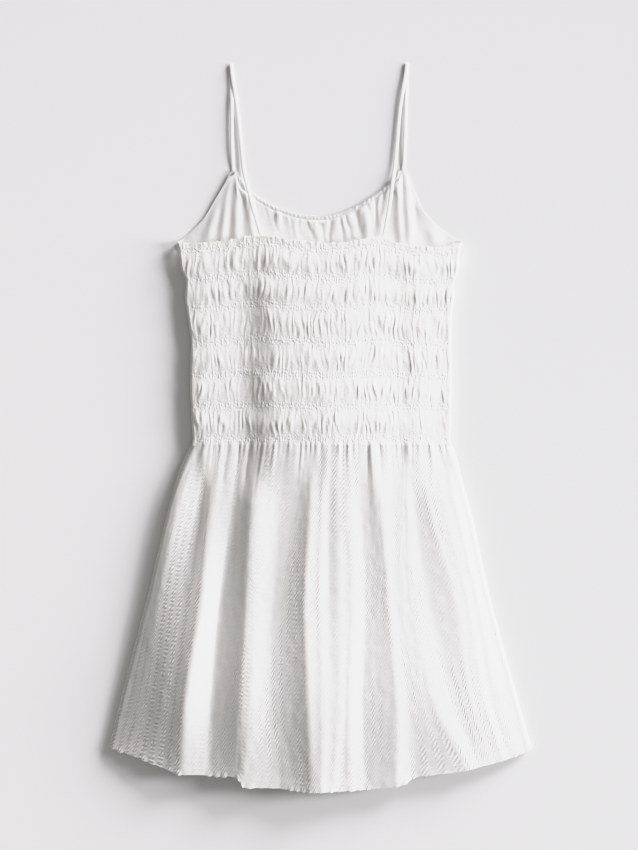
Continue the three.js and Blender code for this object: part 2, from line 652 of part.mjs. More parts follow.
// A pressed rouleau strap along its route, each ring upright to the route
const RING_SIDES = 8;
const STEPS_PER_LEG = 2;
function strap(route) {
  const stops = route.map((p) => new THREE.Vector3(p.x, p.y, p.z));
  const curve = new THREE.CatmullRomCurve3(stops, false, 'centripetal');
  const count = (route.length - 1) * STEPS_PER_LEG;
  const points = [];
  const triangles = [];
  for (let s = 0; s <= count; s += 1) {
    const centre = curve.getPoint(s / count);
    const along = curve.getTangent(s / count);
    const across = new THREE.Vector3(1, 0, 0).addScaledVector(along, -along.x).normalize();
    const upward = across.clone().cross(along).normalize();
    for (let k = 0; k < RING_SIDES; k += 1) {
      const turn = ((k + 0.5) / RING_SIDES) * Math.PI * 2;
      points.push(centre.clone()
        .addScaledVector(across, (STRAP_WIDTH / 2) * Math.cos(turn))
        .addScaledVector(upward, (STRAP_THICKNESS / 2) * Math.sin(turn)));
    }
  }
  const ring = (s, k) => s * RING_SIDES + (k % RING_SIDES);
  for (let s = 0; s < count; s += 1) {
    for (let k = 0; k < RING_SIDES; k += 1) {
      triangles.push([ring(s, k), ring(s + 1, k + 1), ring(s, k + 1)]);
      triangles.push([ring(s, k), ring(s + 1, k), ring(s + 1, k + 1)]);
    }
  }
  for (let k = 1; k < RING_SIDES - 1; k += 1) {
    triangles.push([ring(0, 0), ring(0, k), ring(0, k + 1)]);
    triangles.push([ring(count, 0), ring(count, k + 1), ring(count, k)]);
  }
  return solid(points, triangles);
}

// Finishes
const seersucker = { color: 0xf2f1ef, roughness: 0.88, metalness: 0 };
const innerCloth = { color: 0xf4f3f1, roughness: 0.84, metalness: 0 };
const rouleau = { color: 0xf3f2f0, roughness: 0.8, metalness: 0 };

function addPiece(group, name, geometry, finish) {
  const mesh = new THREE.Mesh(geometry, new THREE.MeshStandardMaterial(finish));
  mesh.name = name;
  group.add(mesh);
}

const dress = new THREE.Group();
addPiece(dress, 'front_bodice', frontBodice(), innerCloth);
addPiece(dress, 'front_skirt', frontSkirt(), seersucker);
addPiece(dress, 'neckline_casing', necklineCasing(), innerCloth);
addPiece(dress, 'back_bodice', backBodice(), seersucker);
addPiece(dress, 'back_skirt', backSkirt(), seersucker);
addPiece(dress, 'strap_left', strap(leftStrapRoute), rouleau);
addPiece(dress, 'strap_right', strap(rightStrapRoute), rouleau);

export default dress;
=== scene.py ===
"""Seersucker slip dress, laid flat on its front with its shirred back facing up.

The tables hold the dress's own sizes in millimetres, and points become metres as a mesh is made.
+Y points to the strap ends, +X to the wearer's right side, and the floor is z = 0.
"""
import math
from collections import namedtuple
from functools import lru_cache
from itertools import accumulate

import bmesh
import bpy
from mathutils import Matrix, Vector, noise


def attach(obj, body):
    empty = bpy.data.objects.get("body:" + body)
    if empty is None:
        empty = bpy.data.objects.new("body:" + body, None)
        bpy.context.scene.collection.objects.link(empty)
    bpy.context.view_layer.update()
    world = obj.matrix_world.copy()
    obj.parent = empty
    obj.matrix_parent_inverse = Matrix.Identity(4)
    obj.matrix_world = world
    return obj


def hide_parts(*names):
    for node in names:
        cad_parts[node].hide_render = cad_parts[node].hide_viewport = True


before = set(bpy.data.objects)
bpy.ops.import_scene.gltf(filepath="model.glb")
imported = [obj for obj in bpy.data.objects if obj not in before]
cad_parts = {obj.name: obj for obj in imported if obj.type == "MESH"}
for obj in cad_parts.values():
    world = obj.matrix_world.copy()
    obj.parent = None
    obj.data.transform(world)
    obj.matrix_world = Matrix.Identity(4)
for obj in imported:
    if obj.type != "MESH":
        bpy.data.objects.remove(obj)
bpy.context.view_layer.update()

scene = bpy.context.scene
MM = 0.001
UP = Vector((0, 0, 1))

# Driving sizes
WALL = 1.2  # height of the cloth with its puckers
BACK_WALL = 0.9  # height of the back's cloth, before its gathers are added
SEAM_GAP = 0.3  # between two pieces at their seam
SIDE_Y = 220  # where the side seams begin, at the armholes
WAIST_Y = -23  # seam between the bodice and the skirt
SIDE_HEM_Y = -386  # where the side seams end, at the hem
SIDE_SEAM_RISE = 2.4  # height at which the side seams lie
SIDE_ROUND = 1.1  # width of the bodice's rounded sides, seen from above
SIDE_INSET = 0.3  # how far inside the outline a rounded side begins
SIDE_TURN = math.radians(68)  # how far round its side the cloth turns
CURL = 9  # how far the front panels curl up at the sides
SHIRRED_DEPTH = 245  # back bodice, from its frill to the waist seam
HEM_BAND = 13  # turned hem
HEM_TURN = 0.15  # height that the turned hem adds
UNEVEN_LENGTH = 8  # over which the back's height varies a little
STRIPE_PITCH = 10.4  # seersucker: one puckered and one flat stripe

# Outline of the laid dress: the side edges at heights y
Edge = namedtuple("Edge", "y left right")
OUTLINE = [
    Edge(221, -170.7, 169.2),
    Edge(206, -168.0, 166.5),
    Edge(188, -165.5, 164.5),
    Edge(174, -160.0, 160.0),
    Edge(150, -160.8, 158.4),
    Edge(124, -156.5, 156.2),
    Edge(96, -154.0, 156.0),
    Edge(60, -155.2, 156.4),
    Edge(22, -154.0, 156.0),
    Edge(-18, -152.6, 155.4),
    Edge(-28, -157.0, 159.0),
    Edge(-40, -163.4, 163.0),
    Edge(-64, -172.0, 169.0),
    Edge(-112, -185.0, 182.0),
    Edge(-208, -208.0, 203.7),
    Edge(-328, -239.0, 236.4),
    Edge(-387, -253.2, 253.2),
]

# Upper edge of the back bodice, its frill included
Stop = namedtuple("Stop", "x y")
BACK_TOP = [
    Stop(-171, 220),
    Stop(-126, 221),
    Stop(-76, 229),
    Stop(-60, 228),
    Stop(-36, 224),
    Stop(0, 220),
    Stop(24, 220),
    Stop(62, 226),
    Stop(76, 226),
    Stop(96, 219),
    Stop(140, 215),
    Stop(169, 220),
]

# Upper edge of the front bodice, in its three curves
LEFT_ARMHOLE = [
    Stop(-170.7, 221),
    Stop(-156, 233),
    Stop(-139.5, 250),
    Stop(-125, 274),
    Stop(-114, 292),
    Stop(-108, 305),
]
NECKLINE = [
    Stop(-101, 308),
    Stop(-92.5, 292),
    Stop(-70, 273),
    Stop(-36, 258),
    Stop(-3, 252.5),
    Stop(24, 257),
    Stop(55, 272),
    Stop(84, 294),
    Stop(97, 309),
]
RIGHT_ARMHOLE = [
    Stop(103, 310),
    Stop(112.5, 284),
    Stop(123, 260),
    Stop(140, 241),
    Stop(159, 227),
    Stop(169.2, 221),
]

# Elastic rows of the back: distances below the frill's edge
ELASTIC_ROWS = (9, 44, 79, 121, 160, 198, 237)

# Relief of the back bodice: places x and rises at its top, chest and waist
BodiceFold = namedtuple("BodiceFold", "x_top x_waist rise_top rise_chest rise_waist")
BODICE_FOLDS = [
    BodiceFold(-160, -149, 6.6, 6.3, 6.6),
    BodiceFold(-147, -139, 7.4, 7.4, 7.8),
    BodiceFold(-118, -118, 7.2, 6.8, 7.4),
    BodiceFold(-95, -92, 7.6, 6.1, 7.0),
    BodiceFold(-55, -57, 9.2, 10.6, 12.4),
    BodiceFold(-36, -36, 9.6, 11.2, 13.0),
    BodiceFold(6, 6, 9.4, 11.2, 13.6),
    BodiceFold(36, 36, 9.2, 10.4, 12.6),
    BodiceFold(62, 62, 8.8, 8.8, 11.2),
    BodiceFold(96, 96, 7.6, 6.4, 8.4),
    BodiceFold(112, 112, 7.4, 6.5, 8.2),
    BodiceFold(158, 150, 5.8, 4.4, 5.0),
]

# Ridges and troughs down the back skirt. Places x at the waist, at three heights below it and at
# the hem, rises at those heights and the hem, how round the line is (0 a crease, 1 a soft bend),
# and the y at which it ends.
SKIRT_HEIGHTS = (-88, -208, -328)
SkirtFold = namedtuple(
    "SkirtFold", "x_waist x_high x_mid x_low x_hem rise_high rise_mid rise_low rise_hem soft end_y")
SKIRT_FOLDS = [
    SkirtFold(-149, -175, -203, -232, -246, 8.2, 7.6, 6.2, 5.6, 0.3, -387),
    SkirtFold(-141, -168, -192, -207, -222, 9.2, 10.4, 11.7, 9.2, 0.4, -395),
    SkirtFold(-133, -143, -166, -181, -190, 6.8, 13.3, 17.9, 12.6, 0.5, -407),
    SkirtFold(-123, -130, -141, -160, -165, 9.7, 17.0, 22.6, 15.4, 0.6, -416),
    SkirtFold(-96, -102, -119, -129, -133, 9.0, 10.8, 16.4, 13.0, 0.4, -417),
    SkirtFold(-72, -82, -88, -95, -99, 14.0, 17.2, 22.8, 17.2, 0.1, -418),
    SkirtFold(-64, -75, -81, -84, -92, 14.2, 17.2, 22.8, 17.2, 0.6, -431),
    SkirtFold(-39, -46, -56, -58, -48, 11.8, 14.8, 20.2, 15.8, 0.9, -432),
    SkirtFold(-26, -30, -48, -50, -39, 12.2, 15.1, 20.4, 16.3, 0.5, -433),
    SkirtFold(-8, -11, -17, -14, -10, 14.9, 19.8, 25.4, 19.6, 0.0, -437),
    SkirtFold(1, 0, -3, 0, 0, 14.2, 18.4, 24.4, 19.8, 1.0, -437),
    SkirtFold(12, 9, 10, 13, 9, 13.2, 16.8, 23.0, 18.4, 0.4, -436),
    SkirtFold(22, 21, 23, 24, 15, 13.8, 17.2, 22.6, 17.8, 0.2, -436),
    SkirtFold(31, 31, 36, 32, 31, 13.4, 16.2, 21.5, 15.8, 1.0, -435),
    SkirtFold(50, 50, 55, 52, 55, 11.4, 13.6, 17.6, 12.8, 0.9, -434),
    SkirtFold(70, 75, 82, 92, 92, 12.4, 15.0, 18.6, 13.8, 0.1, -431),
    SkirtFold(92, 94, 95, 109, 116, 10.6, 13.6, 16.6, 11.2, 0.8, -419),
    SkirtFold(99, 103, 107, 133, 176, 10.4, 13.0, 16.2, 11.4, 0.9, -412),
    SkirtFold(110, 112, 131, 162, 194, 9.4, 10.8, 12.8, 9.2, 0.7, -407),
    SkirtFold(124, 129, 162, 180, 206, 10.0, 11.2, 12.4, 8.4, 0.3, -404),
    SkirtFold(135, 144, 174, 194, 218, 9.2, 10.2, 11.2, 7.6, 0.8, -401),
    SkirtFold(145, 159, 186, 208, 229, 8.4, 8.4, 8.4, 6.0, 0.9, -397),
    SkirtFold(152, 172, 199, 233, 248, 5.8, 5.2, 4.6, 3.9, 1.0, -389),
]


# Small helpers
def mix(a, b, t):
    return a + (b - a) * t


def clamp01(t):
    return min(1.0, max(0.0, t))


def ease(t):
    t = clamp01(t)
    return t * t * (3 - 2 * t)


def uneven(i, j):
    """Uneven but repeatable share between 0 and 1 for the fold or gather i in row j."""
    wave = math.sin(i * 12.9898 + j * 78.233) * 43758.5453
    return wave - math.floor(wave)


def patches(x, y, wide, long, seed):
    """Smooth noise between -1 and 1, in patches about this wide and long."""
    return noise.noise(Vector((x / wide, y / long, seed)))


def blotches(x, y, wide, long, seed, usual, sharp):
    """The same between 0 and 1: usual is the share where the noise is 0, and a high sharp makes
    the patches' edges steep."""
    return ease(usual + sharp * patches(x, y, wide, long, seed))


def smooth_curve(places, values):
    """A smooth curve through values at rising or falling places, as a function of the place."""
    last = len(places) - 1
    slopes = []
    for i in range(last + 1):
        before, after = max(0, i - 1), min(last, i + 1)
        slopes.append((values[after] - values[before]) / (places[after] - places[before]))
    rising = places[last] > places[0]

    def curve(place):
        i = 0
        while i < last - 1 and (place > places[i + 1] if rising else place < places[i + 1]):
            i += 1
        span = places[i + 1] - places[i]
        t = clamp01((place - places[i]) / span)
        t2, t3 = t * t, t * t * t
        return ((2 * t3 - 3 * t2 + 1) * values[i] + (t3 - 2 * t2 + t) * span * slopes[i]
                + (3 * t2 - 2 * t3) * values[i + 1] + (t3 - t2) * span * slopes[i + 1])

    return curve


def column(rows, at, value):
    """The smooth curve through one column of a table, against another."""
    return smooth_curve([getattr(row, at) for row in rows], [getattr(row, value) for row in rows])


left_edge = column(OUTLINE, "y", "left")
right_edge = column(OUTLINE, "y", "right")
back_top = column(BACK_TOP, "x", "y")
left_armhole = column(LEFT_ARMHOLE, "x", "y")
neckline = column(NECKLINE, "x", "y")
right_armhole = column(RIGHT_ARMHOLE, "x", "y")


def fold_blend(t, soft_start, soft_end):
    """Share of the way from one fold line to the next, level at an end that is soft."""
    start = (1 - soft_start) * (1 + soft_end)
    end = (1 - soft_end) * (1 + soft_start)
    t2, t3 = t * t, t * t * t
    return (t3 - 2 * t2 + t) * start + 3 * t2 - 2 * t3 + (t3 - t2) * end


# Cloth panels
UNDERSIDE = 0.1  # height of a panel's plain inner side over its form
INNER_STEP = 9  # columns and rows of the outer side that one square of the inner side covers


def add_cloth_side(bm, columns, rows, spacing, place):
    """One side of a panel, a grid on the panel's own form. spacing is how many columns and rows
    of the panel one of its squares covers. Gives its points and their columns and rows."""
    across, down = max(1, columns // spacing), max(1, rows // spacing)
    verts = bmesh.ops.create_grid(bm, x_segments=across, y_segments=down, size=0.5)["verts"]
    spots = []
    for vert in verts:
        spots.append((round((vert.co.x + 0.5) * columns), round((0.5 - vert.co.y) * rows)))
        vert.co = place(*spots[-1])
    return verts, spots


def cloth_panel(name, columns, rows, place, relief, flat_place, puckered):
    """A thin closed shell of cloth. place(i, j) puts each point on the panel's own form,
    relief(i, j, spot) raises its outer side along the form's normal, flat_place(i, j) is where
    the point lies on the flat cloth, kept in the piece's UV map, and puckered(i, j) is how
    plainly the cloth's own puckers show there."""
    bm = bmesh.new()
    shown = bm.verts.layers.float.new("Puckered")
    verts, spots = add_cloth_side(bm, columns, rows, 1, place)
    bm.normal_update()
    for vert, spot in zip(verts, spots):
        vert.co += vert.normal * relief(*spot, vert.co)
    outer_rim = [edge for edge in bm.edges if edge.is_boundary]
    inner_verts, inner_spots = add_cloth_side(bm, columns, rows, INNER_STEP, place)
    for vert in inner_verts:
        vert.co += UP * UNDERSIDE
    inner_faces = list({face for vert in inner_verts for face in vert.link_faces})
    inner_rim = list({edge for face in inner_faces for edge in face.edges if edge.is_boundary})
    bmesh.ops.reverse_faces(bm, faces=inner_faces)
    bmesh.ops.bridge_loops(bm, edges=outer_rim + inner_rim)
    for edge in outer_rim + inner_rim:
        edge.smooth = False
    bm.verts.index_update()
    cloth_map = bm.loops.layers.uv.new("Cloth")
    flats = [flat_place(*spot) for spot in spots + inner_spots]
    for vert, spot in zip(verts + inner_verts, spots + inner_spots):
        vert[shown] = puckered(*spot)
    for face in bm.faces:
        face.smooth = True
        for loop in face.loops:
            loop[cloth_map].uv = flats[loop.vert.index]
    bmesh.ops.scale(bm, vec=(MM, MM, MM), verts=bm.verts)
    return piece_from(bm, name)


def piece_from(bm, name):
    mesh = bpy.data.meshes.new(name)
    bm.to_mesh(mesh)
    bm.free()
    piece = bpy.data.objects.new(name, mesh)
    scene.collection.objects.link(piece)
    return piece


# Back bodice
BODICE_COLUMNS = 470
BODICE_ROWS = 205
SIDE_SHARE = 0.012  # share of the bodice's columns in each rounded side
CHEST_Y = 120
FOLD_BEND = 0.5  # how straight the relief runs from fold to fold, from 0 to 1
FOLD_STRAY = 9  # how far the bodice's folds stray sideways
FOLD_SOFT = 6  # how far to each side a fold is softened
FOLD_SOFTNESS = 0.6  # share of a fold's own height that is softened
LOOSE_ABOVE_WAIST = 30  # the folds stray and soften fully this far above the waist


def bodice_rise(x, y):
    """Rise of the back bodice's form above the floor."""
    down = clamp01((SIDE_Y - y) / (SIDE_Y - WAIST_Y))
    to_chest = ease((SIDE_Y - y) / (SIDE_Y - CHEST_Y))
    to_waist = ease((CHEST_Y - y) / (CHEST_Y - WAIST_Y))
    before = None
    for fold in BODICE_FOLDS:
        fold_x = mix(fold.x_top, fold.x_waist, down)
        fold_z = mix(mix(fold.rise_top, fold.rise_chest, to_chest), fold.rise_waist, to_waist)
        if before is None and x <= fold_x:
            return fold_z
        if x <= fold_x:
            share = (x - before[0]) / (fold_x - before[0])
            return mix(before[1], fold_z, mix(ease(share), share, FOLD_BEND))
        before = (fold_x, fold_z)
    return before[1]


def side_round(edge_x, crest_x, crest_rise, share, inward):
    """A rounded side, part of an ellipse from the side seam up to a crest."""
    turn = share * SIDE_TURN
    start_x = edge_x + inward * SIDE_INSET
    x = mix(start_x, crest_x, (1 - math.cos(turn)) / (1 - math.cos(SIDE_TURN)))
    return x, mix(SIDE_SEAM_RISE + SEAM_GAP, crest_rise, math.sin(turn) / math.sin(SIDE_TURN))


def bodice_top(x, y):
    """Rise of the bodice's form with its folds softened, straying a little above the waist."""
    loose = ease((y - WAIST_Y) / LOOSE_ABOVE_WAIST)
    x += FOLD_STRAY * loose * patches(x, y, wide=60, long=24, seed=6.1)
    around = (bodice_rise(x - FOLD_SOFT, y) + bodice_rise(x + FOLD_SOFT, y)) / 2
    return mix(bodice_rise(x, y), around, FOLD_SOFTNESS * loose)


def back_bodice_form(c, r):
    """A point of the back bodice, at share c across it and share r down it."""
    rough_y = SIDE_Y - r * (SIDE_Y - WAIST_Y)
    left, right = left_edge(rough_y), right_edge(rough_y)
    if c < SIDE_SHARE:
        crest = left + SIDE_ROUND
        x, z = side_round(left, crest, bodice_rise(crest, rough_y), c / SIDE_SHARE, 1)
    elif c > 1 - SIDE_SHARE:
        crest = right - SIDE_ROUND
        x, z = side_round(right, crest, bodice_rise(crest, rough_y), (1 - c) / SIDE_SHARE, -1)
    else:
        x = mix(left + SIDE_ROUND, right - SIDE_ROUND, (c - SIDE_SHARE) / (1 - 2 * SIDE_SHARE))
        z = bodice_top(x, rough_y)
    return Vector((x, mix(back_top(x), WAIST_Y, r), z))


# Shirring: gathers run from one elastic row to the next and split into fine puckers there.
# The numbers added to a row or a gather only make its unevenness differ from the others'.
LOWEST_GATHER = 0.15  # height of the lowest gather in a row, against GATHER_HEIGHT
GATHER_SPREAD = 1.2  # how much more the highest one has
GATHER_SHARPNESS = 1.25  # a higher number makes each gather narrower at its top
LEAST_FULL = 0.4  # height of the gathers where the back is stretched flat, against the usual
MOST_FULL = 1.2
GATHER_PITCH = 5.8
GATHER_HEIGHT = 0.5
GATHER_STRAY = 4.6  # how far the gathers lean and stray sideways
LONG_SHARE = 0.6  # how much of a puff's height the long gathers give
SHORT_SHARE = 0.9  # how much the short ones between them give
LENS_WIDTH = 3.7  # of the short gathers
LENS_LENGTH = 16
PUFF_HEIGHT = 0.6
PUCKER_PITCH = 2.7
PUCKER_HEIGHT = 0.34
PUCKER_STRAY = 1.4
PLAIN_PUCKERS = 0.5  # share of the puckers' height that runs on past the threads
PINCHED_PUCKERS = 0.9  # share that ends at each thread
PUCKER_REACH = 4.6  # how far the puckers reach up and down from an elastic row
THREAD_PITCH = 4.2  # of the threads that pinch the puckers along an elastic row
GRAIN_REACH = 6.5  # how far the finest puckers show plainly from an elastic row
GRAIN_BETWEEN = 0.25  # how plainly they show between the rows
FRILL_PITCH = 4.2  # of the gathers in the frill
FRILL_OPENING = 14  # how far above its edge the frill's waves would be closed again
FRILL_GATHERS = 0.75  # height of the frill's gathers, against those of the puffs
FRILL_PUFF = 0.25
FRILL_EDGE_WAVE = 1.6
STRAP_TIES = (-70.0, 75.5)  # where the straps are sewn under the frill
STRAP_TIE_WIDTH = 7
STRAP_TIE_HOLD = 0.85  # share of the frill's waves that a strap holds flat
ROW_CROWDING = 1.5  # how much closer together the rows of points lie at the elastic rows
CROWDED_REACH = 5
DEPTH_STEPS = 1500  # in which the rows' crowding is added up
BODICE_UNEVEN = 0.15


def bump(t):
    return math.sin(math.pi * t) ** GATHER_SHARPNESS


def gather_wave(place, row, narrow=1.0):
    """Height at a place among gathers that are one unit apart, uneven from one to the next."""
    gather = math.floor(place)
    height = LOWEST_GATHER + GATHER_SPREAD * uneven(gather, row) ** 1.4
    return height * bump(place - gather) ** narrow


def stray(x, below, row, far):
    """How far the gathers of a row stray sideways at this point, and so lean and differ."""
    broad = patches(x, below, wide=14, long=28, seed=3.3 * row)
    narrow = patches(x, below, wide=5, long=13, seed=3.3 * row + 1.5)
    return far * broad + 0.3 * far * narrow


def puff_at(below):
    """The puff at this distance below the frill's edge, how open its gathers are there, and the
    distance to the nearest elastic row. Puff 0 is the frill."""
    above = -FRILL_OPENING
    for number, row in enumerate(ELASTIC_ROWS):
        if below <= row:
            share = (below - above) / (row - above)
            return number, math.sin(math.pi * share), min(below - above, row - below)
        above = row
    return len(ELASTIC_ROWS), 0, below - above


def puckers(x, below, row, away):
    """The fine puckers near an elastic row, pinched by its threads."""
    place = (x + stray(x, below, 20 + row, PUCKER_STRAY)) / PUCKER_PITCH
    thread = below / THREAD_PITCH + 0.7 * patches(x, row, wide=3, long=1, seed=0)
    cell = math.floor(thread)
    pinched = gather_wave(place + 0.37 * cell, 240 + 7 * row + cell) * bump(thread - cell)
    height = PLAIN_PUCKERS * gather_wave(place, 200 + row) + PINCHED_PUCKERS * pinched
    return PUCKER_HEIGHT * height * math.exp(-(away / PUCKER_REACH) ** 2)


def gathers(x, below, number, opening):
    """Height of the gathers in a puff: long ones, and short lens-shaped ones among them."""
    strayed = x + stray(x, below, number, GATHER_STRAY)
    pitch = GATHER_PITCH if number else FRILL_PITCH
    long = gather_wave(strayed / pitch, 70 + number, 1 + 1.5 * (1 - opening))
    short = blotches(strayed, below, wide=LENS_WIDTH, long=LENS_LENGTH, seed=7.7 * number,
                     usual=0.45, sharp=1.2)
    return GATHER_HEIGHT * opening * (LONG_SHARE * long + SHORT_SHARE * short)


def shirring_relief(x, below):
    """Height of the gathers over the bodice's form."""
    number, opening, away = puff_at(below)
    if number == len(ELASTIC_ROWS):
        return waist_gathers(x, away)
    row = number
    if number > 0 and away == below - ELASTIC_ROWS[number - 1]:
        row = number - 1
    full = blotches(x, below, wide=24, long=34, seed=2.2, usual=0.55, sharp=1.3)
    height = mix(LEAST_FULL, MOST_FULL, full) * gathers(x, below, number, opening)
    tied = 1 if number else FRILL_GATHERS * strap_hold(x)
    puff = PUFF_HEIGHT * opening ** 2 * (1 if number else FRILL_PUFF)
    return puff + height * tied + puckers(x, below, row, away)


def strap_hold(x):
    """Share of the frill's waves that is left where a strap is sewn under it."""
    held = max(math.exp(-((x - tie) / STRAP_TIE_WIDTH) ** 4) for tie in STRAP_TIES)
    return 1 - STRAP_TIE_HOLD * held


def bodice_row_places():
    """How far below the frill's edge each row of points lies."""
    steps = [SHIRRED_DEPTH * n / DEPTH_STEPS for n in range(DEPTH_STEPS + 1)]
    crowded = list(accumulate(
        1 + ROW_CROWDING * math.exp(-(puff_at(below)[2] / CROWDED_REACH) ** 2) for below in steps))
    places = []
    n = 0
    for j in range(BODICE_ROWS + 1):
        while n < len(steps) - 1 and crowded[n] < mix(crowded[0], crowded[-1], j / BODICE_ROWS):
            n += 1
        places.append(steps[n])
    return places


def make_back_bodice():
    row_places = bodice_row_places()

    def place(i, j):
        below = row_places[j]
        spot = back_bodice_form(i / BODICE_COLUMNS, below / SHIRRED_DEPTH)
        if below < ELASTIC_ROWS[0]:
            strayed = spot.x + stray(spot.x, below, 0, GATHER_STRAY)
            wave = gather_wave(strayed / FRILL_PITCH, 70)
            spot.y += FRILL_EDGE_WAVE * (wave - 0.5) * (1 - below / ELASTIC_ROWS[0])
        return spot

    def relief(i, j, spot):
        lift = shirring_relief(spot.x, row_places[j])
        return BACK_WALL + lift + BODICE_UNEVEN * noise.noise(spot / UNEVEN_LENGTH)

    def flat_place(i, j):
        up = SKIRT_LENGTH + SHIRRED_DEPTH - row_places[j]
        return BACK_CUT_WIDTH * i / BODICE_COLUMNS, up

    def puckered(i, j):
        away = puff_at(row_places[j])[2]
        return mix(GRAIN_BETWEEN, 1, math.exp(-(away / GRAIN_REACH) ** 2))

    return cloth_panel("back_bodice_cloth", BODICE_COLUMNS, BODICE_ROWS, place, relief, flat_place,
                       puckered)


# Back skirt
FOLD_MERGE = 0.18  # share of the skirt in which the bodice's relief turns into the folds
FOLD_ROUND = 3.6  # how far to each side of its line a crease is rounded, at most
FOLD_ROUND_SHARE = 0.6  # and at most this share of the way to the next line
BACK_CUT_WIDTH = 560  # flat width of the back skirt at its hem
SKIRT_LENGTH = 410
SKIRT_STEP = 1.15  # aimed spacing of the columns at the hem
SKIRT_ROWS = 205
FEWEST_STEPS = 6  # from one fold line to the next
LAST_ROW_UP = SHIRRED_DEPTH - ELASTIC_ROWS[-1]  # from the waist up to the last elastic row
FULL_WIDTH_AT = 0.8  # share of the way to the hem at which the cloth's width is measured
FLANK_LINES = 3  # the left flank ends at this fold line, and its puckers show all over
HEM_SCALLOP = 1.8
SCALLOP_MIDDLE = 0.4  # a scallop of this share ends right at the hem's line
SCALLOP_REACH = 7
SCALLOP_HEIGHT = 0.5
SKIRT_UNEVEN = 0.1
SKIRT_CRUMPLE = 0.1
LEAST_PUCKERED = 0.16  # how plainly the seersucker's puckers show where they show least
MOST_PUCKERED = 0.52  # and most, beyond the left flank
WAIST_STRAY = 3.0
WAIST_START = 10  # the waist gathers have their full height this far below the elastic row
FoldLine = namedtuple("FoldLine", "x rise soft end_y")

# Gathers that fan out below the last elastic row. Each is from short to short + spread long.
WaistGather = namedtuple("WaistGather", "pitch height short spread")
WAIST_GATHERS = [
    WaistGather(6.4, 0.75, 12, 28),
    WaistGather(14.0, 1.0, 24, 64),
]


def fold_lines():
    """The skirt's folds as smooth curves, from its left crest to its right one."""
    lines = []
    for fold in SKIRT_FOLDS:
        heights = (WAIST_Y, *SKIRT_HEIGHTS, fold.end_y)
        places = (fold.x_waist, fold.x_high, fold.x_mid, fold.x_low, fold.x_hem)
        at_waist = bodice_rise(fold.x_waist, WAIST_Y)
        rises = (at_waist, fold.rise_high, fold.rise_mid, fold.rise_low, fold.rise_hem)
        lines.append(FoldLine(smooth_curve(heights, places), smooth_curve(heights, rises),
                              fold.soft, fold.end_y))
    return lines


LINES = fold_lines()


def line_spot(k, r):
    """Place x and rise of fold line k at r from the waist to the hem."""
    line = LINES[k]
    y = mix(WAIST_Y, line.end_y, r)
    x = line.x(y)
    return x, mix(bodice_rise(x, WAIST_Y), line.rise(y), ease(r / FOLD_MERGE))


@lru_cache(maxsize=None)
def crease_turn(k, r):
    """Where fold line k is at r, how much the cloth's slope changes there, and how far to each
    side that is rounded."""
    (x0, z0), (x1, z1), (x2, z2) = (line_spot(n, r) for n in (k - 1, k, k + 1))
    soft0, soft1, soft2 = (LINES[n].soft for n in (k - 1, k, k + 1))
    before = (z1 - z0) / (x1 - x0) * (1 - soft1) * (1 + soft0)
    after = (z2 - z1) / (x2 - x1) * (1 - soft1) * (1 + soft2)
    nearest = min(x1 - x0, x2 - x1)
    return x1, after - before, min(FOLD_ROUND, FOLD_ROUND_SHARE * nearest)


def crease_rounding(x, k, r):
    """What rounding fold line k adds to the rise at x."""
    if not 0 < k < len(LINES) - 1:
        return 0
    line_x, turn, reach = crease_turn(k, r)
    away = abs(x - line_x)
    if away >= reach:
        return 0
    return turn * (reach - away) ** 2 / (4 * reach)


def back_skirt_form(k, share, r):
    """A point of the back skirt: share of the way from fold line k - 1 to line k, and r from the
    waist to the hem. k = 0 is the left side and k = len(LINES) the right one."""
    merged = ease(r / FOLD_MERGE)
    if k == 0:
        line, edge, inward, turn = LINES[0], left_edge, 1, share
    elif k == len(LINES):
        line, edge, inward, turn = LINES[-1], right_edge, -1, 1 - share
    else:
        before, after = LINES[k - 1], LINES[k]
        y = mix(WAIST_Y, mix(before.end_y, after.end_y, share), r)
        x = mix(before.x(y), after.x(y), share)
        z = mix(before.rise(y), after.rise(y), fold_blend(share, before.soft, after.soft))
        rise = mix(bodice_rise(x, WAIST_Y), z, merged)
        rounding = crease_rounding(x, k - 1, r) + crease_rounding(x, k, r)
        return Vector((x, y, rise + rounding * merged))
    y = mix(WAIST_Y, mix(SIDE_HEM_Y, line.end_y, turn), r)
    rise = mix(bodice_rise(line.x(y), WAIST_Y), line.rise(y), merged)
    x, z = side_round(edge(mix(WAIST_Y, SIDE_HEM_Y, r)), line.x(y), rise, turn, inward)
    return Vector((x, y, z))


def skirt_columns():
    """Places of the skirt's columns of points: the stretch between two fold lines, and the share
    of the way across it."""
    hem_edges = [left_edge(SIDE_HEM_Y), *(fold.x_hem for fold in SKIRT_FOLDS),
                 right_edge(SIDE_HEM_Y)]
    places = []
    for k in range(len(hem_edges) - 1):
        steps = max(FEWEST_STEPS, round((hem_edges[k + 1] - hem_edges[k]) / SKIRT_STEP))
        places += [(k, s / steps) for s in range(steps)]
    places.append((len(hem_edges) - 2, 1.0))
    return places


def cloth_across(columns, r):
    """Distance across the cloth at each column, measured along the folds at r."""
    total = 0
    distances = [0]
    for before, after in zip(columns, columns[1:]):
        total += (back_skirt_form(*after, r) - back_skirt_form(*before, r)).length
        distances.append(total)
    return distances


def waist_gathers(x, below):
    """Gathers of uneven length that fan out below the last elastic row and melt into the folds.
    x is the place at the waist that they fan out from."""
    row = len(ELASTIC_ROWS)
    total = 0
    for n, gather in enumerate(WAIST_GATHERS):
        place = (x + stray(x, below / 3, row + n, WAIST_STRAY)) / gather.pitch
        reach = gather.short + gather.spread * uneven(math.floor(place), 300 + n) ** 2
        total += gather.height * gather_wave(place, 310 + n) * math.exp(-(below / reach) ** 2)
    return total * ease(below / WAIST_START) + puckers(x, below, row - 1, below)


